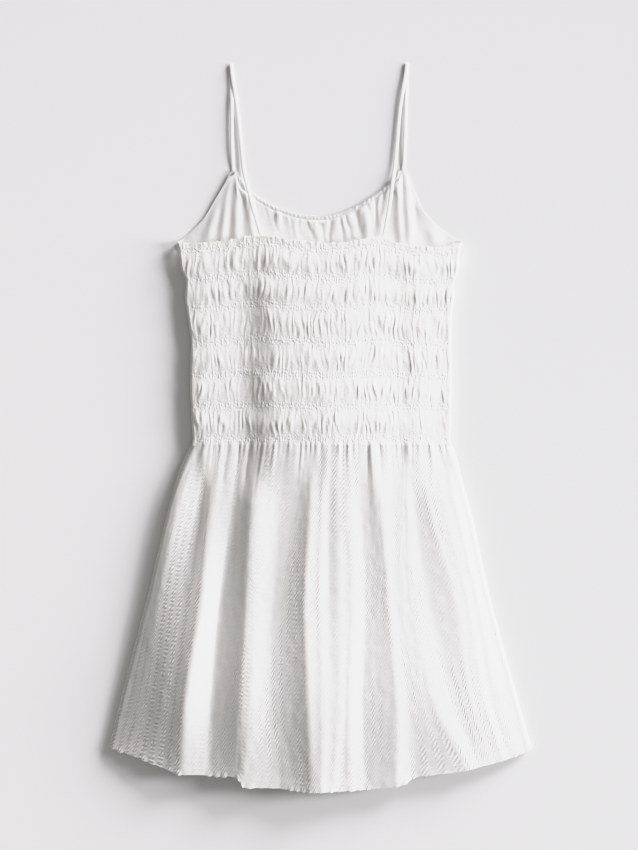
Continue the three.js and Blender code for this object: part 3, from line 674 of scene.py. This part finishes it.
@lru_cache(maxsize=None)
def spread_out(k, r):
    """How far the cloth between fold lines k - 1 and k is spread out at r, against its full width
    near the hem."""
    if k == 0 or k == len(LINES):
        return 1
    here = line_spot(k, r)[0] - line_spot(k - 1, r)[0]
    return here / (line_spot(k, FULL_WIDTH_AT)[0] - line_spot(k - 1, FULL_WIDTH_AT)[0])


def make_back_skirt():
    columns = skirt_columns()
    across = cloth_across(columns, FULL_WIDTH_AT)
    scale = BACK_CUT_WIDTH / across[-1]
    at_waist = [back_skirt_form(*spot, 0).x for spot in columns]

    def scallop(i, j):
        """How much the puckered stripes shorten the cloth near the hem's edge."""
        up = SKIRT_LENGTH * (1 - j / SKIRT_ROWS)
        u = across[i] * scale
        patch = 1
        if columns[i][0] > FLANK_LINES:
            patch = blotches(u, 0, wide=45, long=1, seed=8.8, usual=0.5, sharp=1.6)
        return patch * gather_wave(u / STRIPE_PITCH, 400) * ease(1 - up / SCALLOP_REACH)

    def place(i, j):
        spot = back_skirt_form(*columns[i], j / SKIRT_ROWS)
        at_hem = ease((j / SKIRT_ROWS - 0.98) / 0.02)
        spot.y -= HEM_SCALLOP * (scallop(i, j) - SCALLOP_MIDDLE * at_hem)
        return spot

    def relief(i, j, spot):
        below = WAIST_Y - spot.y
        u = across[i] * scale
        crumple = SKIRT_CRUMPLE * patches(u, spot.y, wide=9, long=14, seed=3.1)
        hem = HEM_TURN * ease((j / SKIRT_ROWS - 1 + HEM_BAND / SKIRT_LENGTH) * SKIRT_ROWS / 2)
        return (BACK_WALL + waist_gathers(at_waist[i], below + LAST_ROW_UP)
                + crumple * ease(below / 12) + hem + SCALLOP_HEIGHT * scallop(i, j)
                + SKIRT_UNEVEN * noise.noise(spot / UNEVEN_LENGTH))

    def flat_place(i, j):
        return across[i] * scale, SKIRT_LENGTH * (1 - j / SKIRT_ROWS)

    def puckered(i, j):
        k = columns[i][0]
        full = ease((spread_out(k, j / SKIRT_ROWS) - 0.45) / 0.3)
        if k <= FLANK_LINES:
            return full
        patch = blotches(across[i] * scale, j, wide=30, long=45, seed=4.4, usual=0.3, sharp=1.5)
        return full * mix(LEAST_PUCKERED, MOST_PUCKERED, patch)

    return cloth_panel("back_skirt_cloth", len(columns) - 1, SKIRT_ROWS, place, relief, flat_place,
                       puckered)


# Front panels
CURL_SHARE = 0.05  # share of a front panel's columns in each curl
FRONT_INSET = 2.5  # how far the front panels' sides lie inside the back's, below the armholes
FRONT_COLUMNS = 240
FRONT_ROWS = 90
FRONT_CROWDING = 1.6  # the front's rows lie close together near its upper edge, which shows
FRONT_CRUMPLE = 0.25
FRONT_SHORTER = 4  # the front hem lies this far inside the back hem
ARMHOLE_LIFT = 1.0
NECKLINE_LIFT = 0.5
LIFT_REACH = 13
EDGE_WALL = 0.35  # height of the cloth at its upper edge, where it isn't puckered
EDGE_REACH = 45  # how far below that edge it has its full height
FOLDS_HIGH_Y = 300
FOLDS_FADE_Y = 190
FOLDS_LEFT = -160  # the front's folds fade out to the left of this
FOLDS_RIGHT = 158
FOLDS_END = 12  # over which they fade out there
LEFT_CORNER_X = -100
CASING_WIDTH = 5
CASING_HEIGHT = 0.3
CASING_END = 3  # how far short of the strap corners the casing stops
CASING_PITCH = 4.6
CASING_GATHER_HEIGHT = 0.22
CASING_TWIST = 0.4  # rise of the casing's upper edge where it turns over near the left strap
CASING_TWIST_X = -97
CASING_TWIST_REACH = 5
NECKLINE_GATHERS = 18
NECKLINE_GATHER_HEIGHT = 0.9
NECKLINE_FINE_HEIGHT = 0.4
NECKLINE_FINE_REACH = 9

# Soft folds of the front bodice that fan down from its strap corners
FrontFold = namedtuple("FrontFold", "x_high x_low rise width")
FRONT_FOLDS = [
    FrontFold(-115, -136, 1.0, 6),
    FrontFold(-109, -118, 1.1, 5),
    FrontFold(-100, -101, 1.5, 6),
    FrontFold(-91, -81, 0.7, 7),
    FrontFold(58, 57, 1.0, 6),
    FrontFold(91, 97, 1.2, 5),
    FrontFold(104, 108, 1.4, 6),
    FrontFold(120, 139, 1.0, 9),
]


def curl_rise(d):
    """Height of the front panels' curl at distance d in from the side edge."""
    if d >= CURL:
        return 0
    return SIDE_SEAM_RISE * (1 - math.sqrt(1 - (1 - max(0, d) / CURL) ** 2))


def front_x(c, y):
    """x at share c across a front panel, stepped evenly round the curls at its sides."""
    inset = FRONT_INSET * ease((SIDE_Y - y) / 12)
    left, right = left_edge(min(y, SIDE_Y)) + inset, right_edge(min(y, SIDE_Y)) - inset
    if c < CURL_SHARE:
        return left + CURL * (1 - math.cos(c / CURL_SHARE * math.pi / 2))
    if c > 1 - CURL_SHARE:
        return right - CURL * (1 - math.cos((1 - c) / CURL_SHARE * math.pi / 2))
    return mix(left + CURL, right - CURL, (c - CURL_SHARE) / (1 - 2 * CURL_SHARE))


def straight(start, end, x):
    return mix(start.y, end.y, (x - start.x) / (end.x - start.x))


def front_top(x):
    """y of the front bodice's upper edge at x."""
    if x <= LEFT_ARMHOLE[-1].x:
        return left_armhole(x)
    if x >= RIGHT_ARMHOLE[0].x:
        return right_armhole(x)
    if x < NECKLINE[0].x:
        return straight(LEFT_ARMHOLE[-1], NECKLINE[0], x)
    if x > NECKLINE[-1].x:
        return straight(NECKLINE[-1], RIGHT_ARMHOLE[0], x)
    return neckline(x)


def front_bodice_form(c, r):
    """A point of the front bodice, at share c across it and share r down it."""
    top_x = front_x(c, SIDE_Y)
    top_y = front_top(top_x)
    y = mix(top_y, WAIST_Y + SEAM_GAP / 2, r)
    x = front_x(c, y)
    side_y = min(y, SIDE_Y)
    from_side = min(x - left_edge(side_y), right_edge(side_y) - x)
    at_armhole = ease((LEFT_CORNER_X - x) / 10)
    lift = mix(NECKLINE_LIFT, ARMHOLE_LIFT, at_armhole) * ease(from_side / 50)
    lift *= math.exp(-(top_y - y) / LIFT_REACH)
    down = (FOLDS_HIGH_Y - y) / (FOLDS_HIGH_Y - SIDE_Y)
    fade = ease((y - FOLDS_FADE_Y) / (SIDE_Y + 15 - FOLDS_FADE_Y))
    folds = 0
    if fade > 0:
        for fold in FRONT_FOLDS:
            away = (x - mix(fold.x_high, fold.x_low, down)) / fold.width
            folds += fold.rise * math.exp(-away * away)
    inside = ease((x - FOLDS_LEFT) / FOLDS_END) * ease((FOLDS_RIGHT - x) / FOLDS_END)
    inside *= mix(0.35, 1, ease((top_y - y) / 22))
    return Vector((x, y, max(lift, curl_rise(from_side)) + folds * fade * inside))


def front_top_share(x):
    """The share across the front bodice at which its top edge passes x."""
    left, right = left_edge(SIDE_Y) + CURL, right_edge(SIDE_Y) - CURL
    return CURL_SHARE + (x - left) / (right - left) * (1 - 2 * CURL_SHARE)


def casing_depth(x):
    """How far the casing reaches down from the neckline at x, more where that is steep."""
    slope = (front_top(x + 1) - front_top(x - 1)) / 2
    return CASING_WIDTH * math.sqrt(1 + slope * slope)


def edge_wall(below):
    """Height of the front's cloth at this distance below its upper edge."""
    return mix(EDGE_WALL, WALL, clamp01(below / EDGE_REACH))


def neckline_gathers(x, below):
    """Short gathers that fan down from the casing."""
    start, end = NECKLINE[0].x, NECKLINE[-1].x
    if not start < x < end:
        return 0
    deep = below - 0.97 * casing_depth(x)
    if deep < 0:
        return 0
    strayed = x - start - 0.2 * deep + stray(x, below, 32, 7.0)
    place = strayed / (end - start) * NECKLINE_GATHERS
    reach = 12 + 30 * uneven(math.floor(place), 5)
    height = NECKLINE_GATHER_HEIGHT * gather_wave(place, 6) * math.exp(-(deep / reach) ** 2)
    fine = NECKLINE_FINE_HEIGHT * gather_wave(2 * place, 7)
    fine *= math.exp(-(deep / NECKLINE_FINE_REACH) ** 2)
    return CASING_HEIGHT * math.exp(-deep / 25) + (height + fine) * ease(0.3 + deep / 5)


def make_front_bodice():
    shares = [(j / FRONT_ROWS) ** FRONT_CROWDING for j in range(FRONT_ROWS + 1)]

    def place(i, j):
        return front_bodice_form(i / FRONT_COLUMNS, shares[j])

    def relief(i, j, spot):
        below = front_top(front_x(i / FRONT_COLUMNS, SIDE_Y)) - spot.y
        crumple = FRONT_CRUMPLE * patches(spot.x, spot.y, wide=12, long=20, seed=7.7)
        return edge_wall(below) + neckline_gathers(spot.x, below) + crumple * ease(below / 10)

    def flat_place(i, j):
        spot = place(i, j)
        return spot.x + 170, spot.y

    return cloth_panel("front_bodice_cloth", FRONT_COLUMNS, FRONT_ROWS, place, relief, flat_place,
                       lambda i, j: 0.5)


hem_line = smooth_curve(
    [OUTLINE[-1].left, *(fold.x_hem for fold in SKIRT_FOLDS[2::3]), OUTLINE[-1].right],
    [SIDE_HEM_Y, *(fold.end_y for fold in SKIRT_FOLDS[2::3]), SIDE_HEM_Y])


def make_front_skirt():
    columns, rows = 120, 60

    def place(i, j):
        c, r = i / columns, j / rows
        hem_x = front_x(c, SIDE_HEM_Y)
        y = mix(WAIST_Y - SEAM_GAP / 2, hem_line(hem_x) + FRONT_SHORTER, r)
        side_y = mix(WAIST_Y, SIDE_HEM_Y, r)
        x = front_x(c, side_y)
        return Vector((x, y, curl_rise(min(x - left_edge(side_y), right_edge(side_y) - x))))

    def flat_place(i, j):
        return BACK_CUT_WIDTH * i / columns, SKIRT_LENGTH * (1 - j / rows)

    return cloth_panel("front_skirt_cloth", columns, rows, place, lambda i, j, spot: WALL,
                       flat_place, lambda i, j: 0.5)


def make_casing():
    """Narrow gathered casing on the inside of the front neckline."""
    columns, rows = 400, 9
    start = front_top_share(NECKLINE[0].x + CASING_END)
    end = front_top_share(NECKLINE[-1].x - CASING_END)

    def place(i, j):
        share = mix(start, end, i / columns)
        x = front_x(share, SIDE_Y)
        below = casing_depth(x) * mix(0.04, 1, j / rows)
        twist = CASING_TWIST * math.exp(-((x - CASING_TWIST_X) / CASING_TWIST_REACH) ** 2)
        rise = UP * (edge_wall(below) + 0.05 + twist * (1 - j / rows))
        return front_bodice_form(share, below / (front_top(x) - WAIST_Y)) + rise

    def relief(i, j, spot):
        x = front_x(mix(start, end, i / columns), SIDE_Y)
        gather = gather_wave((x + stray(x, j, 30, 2.0)) / CASING_PITCH, 31)
        swell = math.sin(math.pi * mix(0.1, 0.95, j / rows))
        return CASING_HEIGHT * ease(j / 3) + CASING_GATHER_HEIGHT * gather * swell

    return cloth_panel("neckline_casing_cloth", columns, rows, place, relief,
                       lambda i, j: (i, j), lambda i, j: 0.2)


# Straps
STRAP_WIDTH = 4.2
STRAP_THICKNESS = 0.8
STRAP_ROUND = 12  # distance round the strap on its flat cloth
STRAP_PRESSED = 9  # how far from its sewn ends a strap is pressed flat
STRAP_END = 0.35  # thickness of its ends, against STRAP_THICKNESS
STRAP_UNEVEN = 0.06  # share by which its width and thickness vary
STRAP_UNEVEN_LENGTH = 6
STRAP_RINGS = 240
STRAP_SIDES = 20
WELD = 1e-4  # points nearer than this are one
Point = namedtuple("Point", "x y z")
LEFT_STRAP = [
    Point(-104.2, 301, 0.3),
    Point(-104.9, 310, 0.4),
    Point(-105.6, 322, 1.0),
    Point(-106.3, 345, 1.5),
    Point(-106.5, 392, 1.4),
    Point(-106.8, 425, 0.4),
    Point(-107.0, 432, 0.3),
    Point(-107.1, 434.8, 0.8),
    Point(-106.9, 432, 1.3),
    Point(-106.3, 424, 1.4),
    Point(-104.7, 412, 1.7),
    Point(-101.3, 392, 1.5),
    Point(-98.5, 368, 1.3),
    Point(-94.5, 330, 1.6),
    Point(-92.0, 308, 2.0),
    Point(-87.5, 288, 3.6),
    Point(-81.0, 262, 4.4),
    Point(-73.5, 237, 5.6),
    Point(-69.5, 223, 5.8),
]
RIGHT_STRAP = [
    Point(98.6, 302, 0.3),
    Point(99.5, 311, 0.4),
    Point(100.4, 320, 1.0),
    Point(101.2, 340, 1.5),
    Point(102.4, 380, 1.4),
    Point(103.6, 420, 0.4),
    Point(103.9, 433, 0.3),
    Point(103.9, 436, 0.8),
    Point(103.5, 433, 1.3),
    Point(101.7, 420, 1.4),
    Point(99.0, 404, 1.7),
    Point(95.4, 380, 1.5),
    Point(91.4, 336, 1.6),
    Point(89.2, 312, 2.0),
    Point(86.4, 292, 3.6),
    Point(83.0, 266, 4.4),
    Point(78.5, 240, 5.6),
    Point(75.2, 222, 5.8),
]


def make_strap(name, route):
    """A pressed rouleau strap, an elliptical tube along its route."""
    lengths = [0.0]
    for before, after in zip(route, route[1:]):
        lengths.append(lengths[-1] + (Vector(after) - Vector(before)).length)
    total = lengths[-1]
    curves = [smooth_curve(lengths, [getattr(point, axis) for point in route]) for axis in "xyz"]

    def spot(along):
        return Vector([curve(along) for curve in curves])

    bm = bmesh.new()
    bmesh.ops.create_grid(bm, x_segments=STRAP_SIDES, y_segments=STRAP_RINGS, size=0.5)
    cloth_map = bm.loops.layers.uv.new("Cloth")
    for face in bm.faces:
        face.smooth = True
        for loop in face.loops:
            share = 0.5 - loop.vert.co.y
            loop[cloth_map].uv = ((loop.vert.co.x + 0.5) * STRAP_ROUND, share * total)
    for vert in bm.verts:
        along = (0.5 - vert.co.y) * total
        turn = (vert.co.x + 0.5) * 2 * math.pi
        tangent = (spot(along + 0.5) - spot(along - 0.5)).normalized()
        across = (Vector((1, 0, 0)) - tangent * tangent.x).normalized()
        upward = across.cross(tangent).normalized()
        pressed = mix(STRAP_END, 1, ease(min(along, total - along) / STRAP_PRESSED))
        swell = 1 + STRAP_UNEVEN * patches(along, math.cos(turn), wide=STRAP_UNEVEN_LENGTH, long=1,
                                           seed=route[0].x)
        vert.co = (spot(along) + across * (STRAP_WIDTH / 2 * swell * math.cos(turn))
                   + upward * (STRAP_THICKNESS / 2 * swell * pressed * math.sin(turn)))
    bmesh.ops.remove_doubles(bm, verts=bm.verts, dist=WELD)
    ends = [edge for edge in bm.edges if edge.is_boundary]
    bmesh.ops.holes_fill(bm, edges=ends, sides=0)
    bmesh.ops.recalc_face_normals(bm, faces=bm.faces)
    bmesh.ops.scale(bm, vec=(MM, MM, MM), verts=bm.verts)
    return piece_from(bm, name)


# Materials, their lengths in millimetres of the Cloth map
COTTON = (0.884, 0.862, 0.82)
COTTON_INSIDE = (0.862, 0.84, 0.8)
ROULEAU = (0.876, 0.862, 0.84)
DARKEST_COTTON = 0.97  # the cloth's own mottle, against its colour
MOTTLE_SCALE = 0.3
MOTTLE_HEIGHT = 0.05
WARP_PITCH = 0.55
WEFT_PITCH = 0.6
WEAVE_HEIGHT = 0.008
DASH_HEIGHT = 0.45  # of the short puckers along a stripe
DASH_PITCH = 5.6
DASH_SLANT = -1.05
DASH_SLANT_SPREAD = 0.25  # how much the slant differs from stripe to stripe
DASH_SHIFT = 7  # how far along their stripe the dashes may lie from the next stripe's
DASH_WANDER = 5.0
DASH_WANDER_SCALE = 0.12
STRIPE_WANDER = 3.0
STRIPE_WANDER_SCALE = 0.04
BAND_STEEPNESS = 3.2  # of a puckered stripe's two sides
BAND_CUT = -2.2  # how much of a stripe stays flat
BAND_SOFT = 0.2
GRAIN_HEIGHT = 0.6  # of the fine puckers of the shirring
GRAIN_SCALE = 0.42
INSIDE_DASH_HEIGHT = 0.05
CLOTH_LOOK = {
    "Roughness": 0.9,
    "Specular IOR Level": 0.2,
    "Sheen Weight": 0.12,
    "Sheen Roughness": 0.5,
    "Subsurface Weight": 0.55,
    "Subsurface Radius": (1.0, 0.99, 0.97),
    "Subsurface Scale": 1.1 * MM,
}


class Nodes:
    """Builds a material's nodes in a few words."""

    def __init__(self, name, look):
        self.material = bpy.data.materials.new(name)
        self.material.use_nodes = True
        self.tree = self.material.node_tree
        self.shader = self.tree.nodes["Principled BSDF"]
        for socket, value in look.items():
            self.shader.inputs[socket].default_value = value

    def add(self, kind, **settings):
        node = self.tree.nodes.new(kind)
        for key, value in settings.items():
            setattr(node, key, value)
        return node

    def link(self, output, socket):
        self.tree.links.new(output, socket)

    def math(self, operation, *values):
        node = self.add("ShaderNodeMath", operation=operation)
        for socket, value in zip(node.inputs, values):
            if isinstance(value, (int, float)):
                socket.default_value = value
            else:
                self.link(value, socket)
        return node.outputs[0]

    def noise(self, vector, scale, detail=2.0):
        node = self.add("ShaderNodeTexNoise")
        node.inputs["Scale"].default_value = scale
        node.inputs["Detail"].default_value = detail
        self.link(vector, node.inputs["Vector"])
        return node.outputs["Fac"]

    def wave(self, place, pitch):
        return self.math("SINE", self.math("MULTIPLY", place, 2 * math.pi / pitch))

    def split(self, vector):
        """The first two numbers of a vector."""
        node = self.add("ShaderNodeSeparateXYZ")
        self.link(vector, node.inputs["Vector"])
        return node.outputs["X"], node.outputs["Y"]

    def paint(self, colour, share):
        """Gives the shader this colour, made darker or lighter by a share."""
        node = self.add("ShaderNodeVectorMath", operation="SCALE")
        node.inputs[0].default_value = colour
        self.link(share, node.inputs["Scale"])
        self.link(node.outputs["Vector"], self.shader.inputs["Base Color"])


def fine_puckers(nodes, cloth):
    """The uneven grains of shirred cloth, between -0.5 and 0.5, longer across the cloth."""
    narrow = nodes.add("ShaderNodeVectorMath", operation="MULTIPLY")
    nodes.link(cloth, narrow.inputs[0])
    narrow.inputs[1].default_value = (0.6, 1.0, 1.0)
    return nodes.math("SUBTRACT", nodes.noise(narrow.outputs["Vector"], GRAIN_SCALE, 1.0), 0.5)


def stripe_puckers(nodes, cloth):
    """The seersucker's stripes of short slanting puckers, which wander and differ a little."""
    u, v = nodes.split(cloth)
    wander = nodes.noise(cloth, STRIPE_WANDER_SCALE, 1.0)
    stripe = nodes.math("MULTIPLY_ADD", wander, STRIPE_WANDER, u)
    stripe = nodes.math("DIVIDE", stripe, STRIPE_PITCH)
    number = nodes.math("FLOOR", stripe)
    band = nodes.math("SINE", nodes.math("MULTIPLY", nodes.math("FRACT", stripe), math.pi))
    band = nodes.math("MULTIPLY_ADD", band, BAND_STEEPNESS, BAND_CUT)
    band = nodes.math("SMOOTH_MAX", band, 0.0, BAND_SOFT)
    shift = nodes.math("SINE", nodes.math("MULTIPLY", number, 12.9))
    slant = nodes.math("SINE", nodes.math("MULTIPLY", number, 5.3))
    slant = nodes.math("MULTIPLY_ADD", slant, DASH_SLANT_SPREAD, DASH_SLANT)
    along = nodes.math("MULTIPLY_ADD", u, slant, v)
    along = nodes.math("ADD", along, nodes.math("MULTIPLY", shift, DASH_SHIFT))
    wander = nodes.noise(cloth, DASH_WANDER_SCALE, 1.0)
    along = nodes.math("MULTIPLY_ADD", wander, DASH_WANDER, along)
    return nodes.math("MULTIPLY", nodes.wave(along, DASH_PITCH), band)


def white_cloth(name, colour, dash_height, grain_height):
    """White cotton with the puckers of its stripes or its shirring, or with neither. They follow
    the Cloth map and show as plainly as the panel says."""
    nodes = Nodes(name, CLOTH_LOOK)
    cloth = nodes.add("ShaderNodeUVMap", uv_map="Cloth").outputs["UV"]
    u, v = nodes.split(cloth)
    weave = nodes.math("MULTIPLY", nodes.wave(u, WARP_PITCH), nodes.wave(v, WEFT_PITCH))
    height = nodes.math("MULTIPLY", weave, WEAVE_HEIGHT)
    mottle = nodes.noise(cloth, MOTTLE_SCALE)
    height = nodes.math("MULTIPLY_ADD", mottle, MOTTLE_HEIGHT, height)
    shown = nodes.add("ShaderNodeAttribute", attribute_name="Puckered").outputs["Fac"]
    for puckers_of, pucker_height in ((fine_puckers, grain_height), (stripe_puckers, dash_height)):
        if pucker_height:
            raised = nodes.math("MULTIPLY", puckers_of(nodes, cloth), shown)
            height = nodes.math("MULTIPLY_ADD", raised, pucker_height, height)
    tone = nodes.add("ShaderNodeMapRange")
    nodes.link(mottle, tone.inputs["Value"])
    tone.inputs["To Min"].default_value = DARKEST_COTTON
    tone.inputs["To Max"].default_value = 1.0
    nodes.paint(colour, tone.outputs["Result"])
    relief = nodes.add("ShaderNodeBump")
    relief.inputs["Distance"].default_value = MM
    nodes.link(height, relief.inputs["Height"])
    nodes.link(relief.outputs["Normal"], nodes.shader.inputs["Normal"])
    return nodes.material


# Studio, in metres
FLOOR_HALF = 4
FLOOR_Z = -0.0002  # just clear of the cloth
FLOOR_LOOK = {"Roughness": 1.0, "Specular IOR Level": 0.0}
FLOOR_TINT = (1.015, 0.995, 0.975)
# Painted light: the floor's grey is painted darker towards the lamps (+X, and partly +Y) and
# lighter away from them, to cancel the lamps' falloff.
FLOOR_GREY = 0.853  # at the middle of the dress
FLOOR_FALL = -0.36  # change of the grey for each metre towards +X
FLOOR_SLOPE = 0.56  # how much of that change there is towards +Y
FLOOR_DARKEST = 0.55
FLOOR_LIGHTEST = 1.1
WHITEST = 1.8  # brightness at the end of the tone curve
TONES = [(0.35, 0.35), (0.7, 0.7), (0.95, 0.842), (1.3, 0.883), (1.8, 0.905)]
SKY_COLOUR = (1.0, 0.995, 0.985, 1)
SKY_STRENGTH = 0.255
LIGHT_COLOUR = (0.985, 0.98, 1.045)
LIGHT_DISTANCE = 4.0
LIGHT_HEIGHT = 1.4  # of each light's own face
Lamp = namedtuple("Lamp", "name power azimuth elevation width")
LAMPS = [
    Lamp("side_light", 262, 2, 12.6, 0.93),
    Lamp("corner_light", 320, 42, 11.8, 1.6),
]


def floor_painted_against_falloff():
    """Matt grey with painted light: darker towards the lamps and lighter away from them, so that it
    cancels their falloff and the floor looks evenly lit.
    """
    nodes = Nodes("floor_counter_shade_paint", FLOOR_LOOK)
    x, y = nodes.split(nodes.add("ShaderNodeTexCoord").outputs["Object"])
    across = nodes.math("MULTIPLY_ADD", y, FLOOR_SLOPE, x)
    grey = nodes.math("MULTIPLY_ADD", across, FLOOR_FALL, FLOOR_GREY)
    grey = nodes.math("MINIMUM", nodes.math("MAXIMUM", grey, FLOOR_DARKEST), FLOOR_LIGHTEST)
    nodes.paint(FLOOR_TINT, grey)
    return nodes.material


def make_floor():
    bm = bmesh.new()
    bmesh.ops.create_grid(bm, x_segments=1, y_segments=1, size=FLOOR_HALF)
    floor = piece_from(bm, "floor")
    floor.location.z = FLOOR_Z
    floor.data.materials.append(floor_painted_against_falloff())


def softbox(lamp):
    """A light turned to the middle of the dress."""
    elevation, azimuth = math.radians(lamp.elevation), math.radians(lamp.azimuth)
    level = math.cos(elevation)
    towards = Vector((level * math.cos(azimuth), level * math.sin(azimuth), math.sin(elevation)))
    light = bpy.data.lights.new(lamp.name, "AREA")
    light.shape = "RECTANGLE"
    light.size = lamp.width
    light.size_y = LIGHT_HEIGHT
    light.energy = lamp.power
    light.color = LIGHT_COLOUR
    obj = bpy.data.objects.new(lamp.name, light)
    obj.location = towards * LIGHT_DISTANCE
    obj.rotation_euler = towards.to_track_quat("Z", "Y").to_euler()
    scene.collection.objects.link(obj)


def soften_highlights():
    """A tone curve that keeps the greys as they are and eases the brightest whites."""
    view = scene.view_settings
    view.view_transform = "Standard"
    view.use_curve_mapping = True
    tones = view.curve_mapping
    tones.white_level = (WHITEST, WHITEST, WHITEST)
    curve = tones.curves[3]
    curve.points[1].location = (1, TONES[-1][1])
    for bright, shown in TONES[:-1]:
        curve.points.new(bright / WHITEST, shown)
    tones.update()


def make_studio():
    make_floor()
    for lamp in LAMPS:
        softbox(lamp)
    world = bpy.data.worlds.new("studio")
    world.use_nodes = True
    sky = world.node_tree.nodes["Background"]
    sky.inputs["Color"].default_value = SKY_COLOUR
    sky.inputs["Strength"].default_value = SKY_STRENGTH
    scene.world = world
    soften_highlights()


# Camera, straight above the dress, in millimetres
PIXEL = 1.2  # of the floor in one pixel of the picture
PICTURE_HEIGHT = 850  # pixels
CAMERA_PLACE = Vector((-1.5, 1.8, 2600))
SENSOR_HEIGHT = 36
FARTHEST = 20  # metres that the camera sees


def make_camera():
    camera = bpy.data.cameras.new("camera")
    camera.sensor_fit = "VERTICAL"
    camera.sensor_height = SENSOR_HEIGHT
    camera.lens = SENSOR_HEIGHT * CAMERA_PLACE.z / (PIXEL * PICTURE_HEIGHT)
    camera.clip_end = FARTHEST
    obj = bpy.data.objects.new("camera", camera)
    obj.location = CAMERA_PLACE * MM
    scene.collection.objects.link(obj)
    scene.camera = obj


# The whole scene
make_camera()
make_studio()

seersucker = white_cloth("seersucker_outside", COTTON, DASH_HEIGHT, 0)
shirred = white_cloth("seersucker_shirred", COTTON, 0, GRAIN_HEIGHT)
inside = white_cloth("seersucker_inside", COTTON_INSIDE, INSIDE_DASH_HEIGHT, 0)
rouleau = white_cloth("rouleau_cotton", ROULEAU, 0, 0)

back_bodice = make_back_bodice()
back_skirt = make_back_skirt()
front_bodice = make_front_bodice()
front_skirt = make_front_skirt()
casing = make_casing()
strap_left = make_strap("strap_left_cloth", LEFT_STRAP)
strap_right = make_strap("strap_right_cloth", RIGHT_STRAP)

for piece, node, material, slot in (
    (back_bodice, "back_bodice", shirred, "seersucker"),
    (back_skirt, "back_skirt", seersucker, "seersucker"),
    (front_bodice, "front_bodice", inside, "cloth_inside"),
    (front_skirt, "front_skirt", seersucker, "seersucker"),
    (casing, "neckline_casing", inside, "cloth_inside"),
    (strap_left, "strap_left", rouleau, "rouleau"),
    (strap_right, "strap_right", rouleau, "rouleau"),
):
    piece.data.materials.append(material)
    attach(piece, "root")
    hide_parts(node)
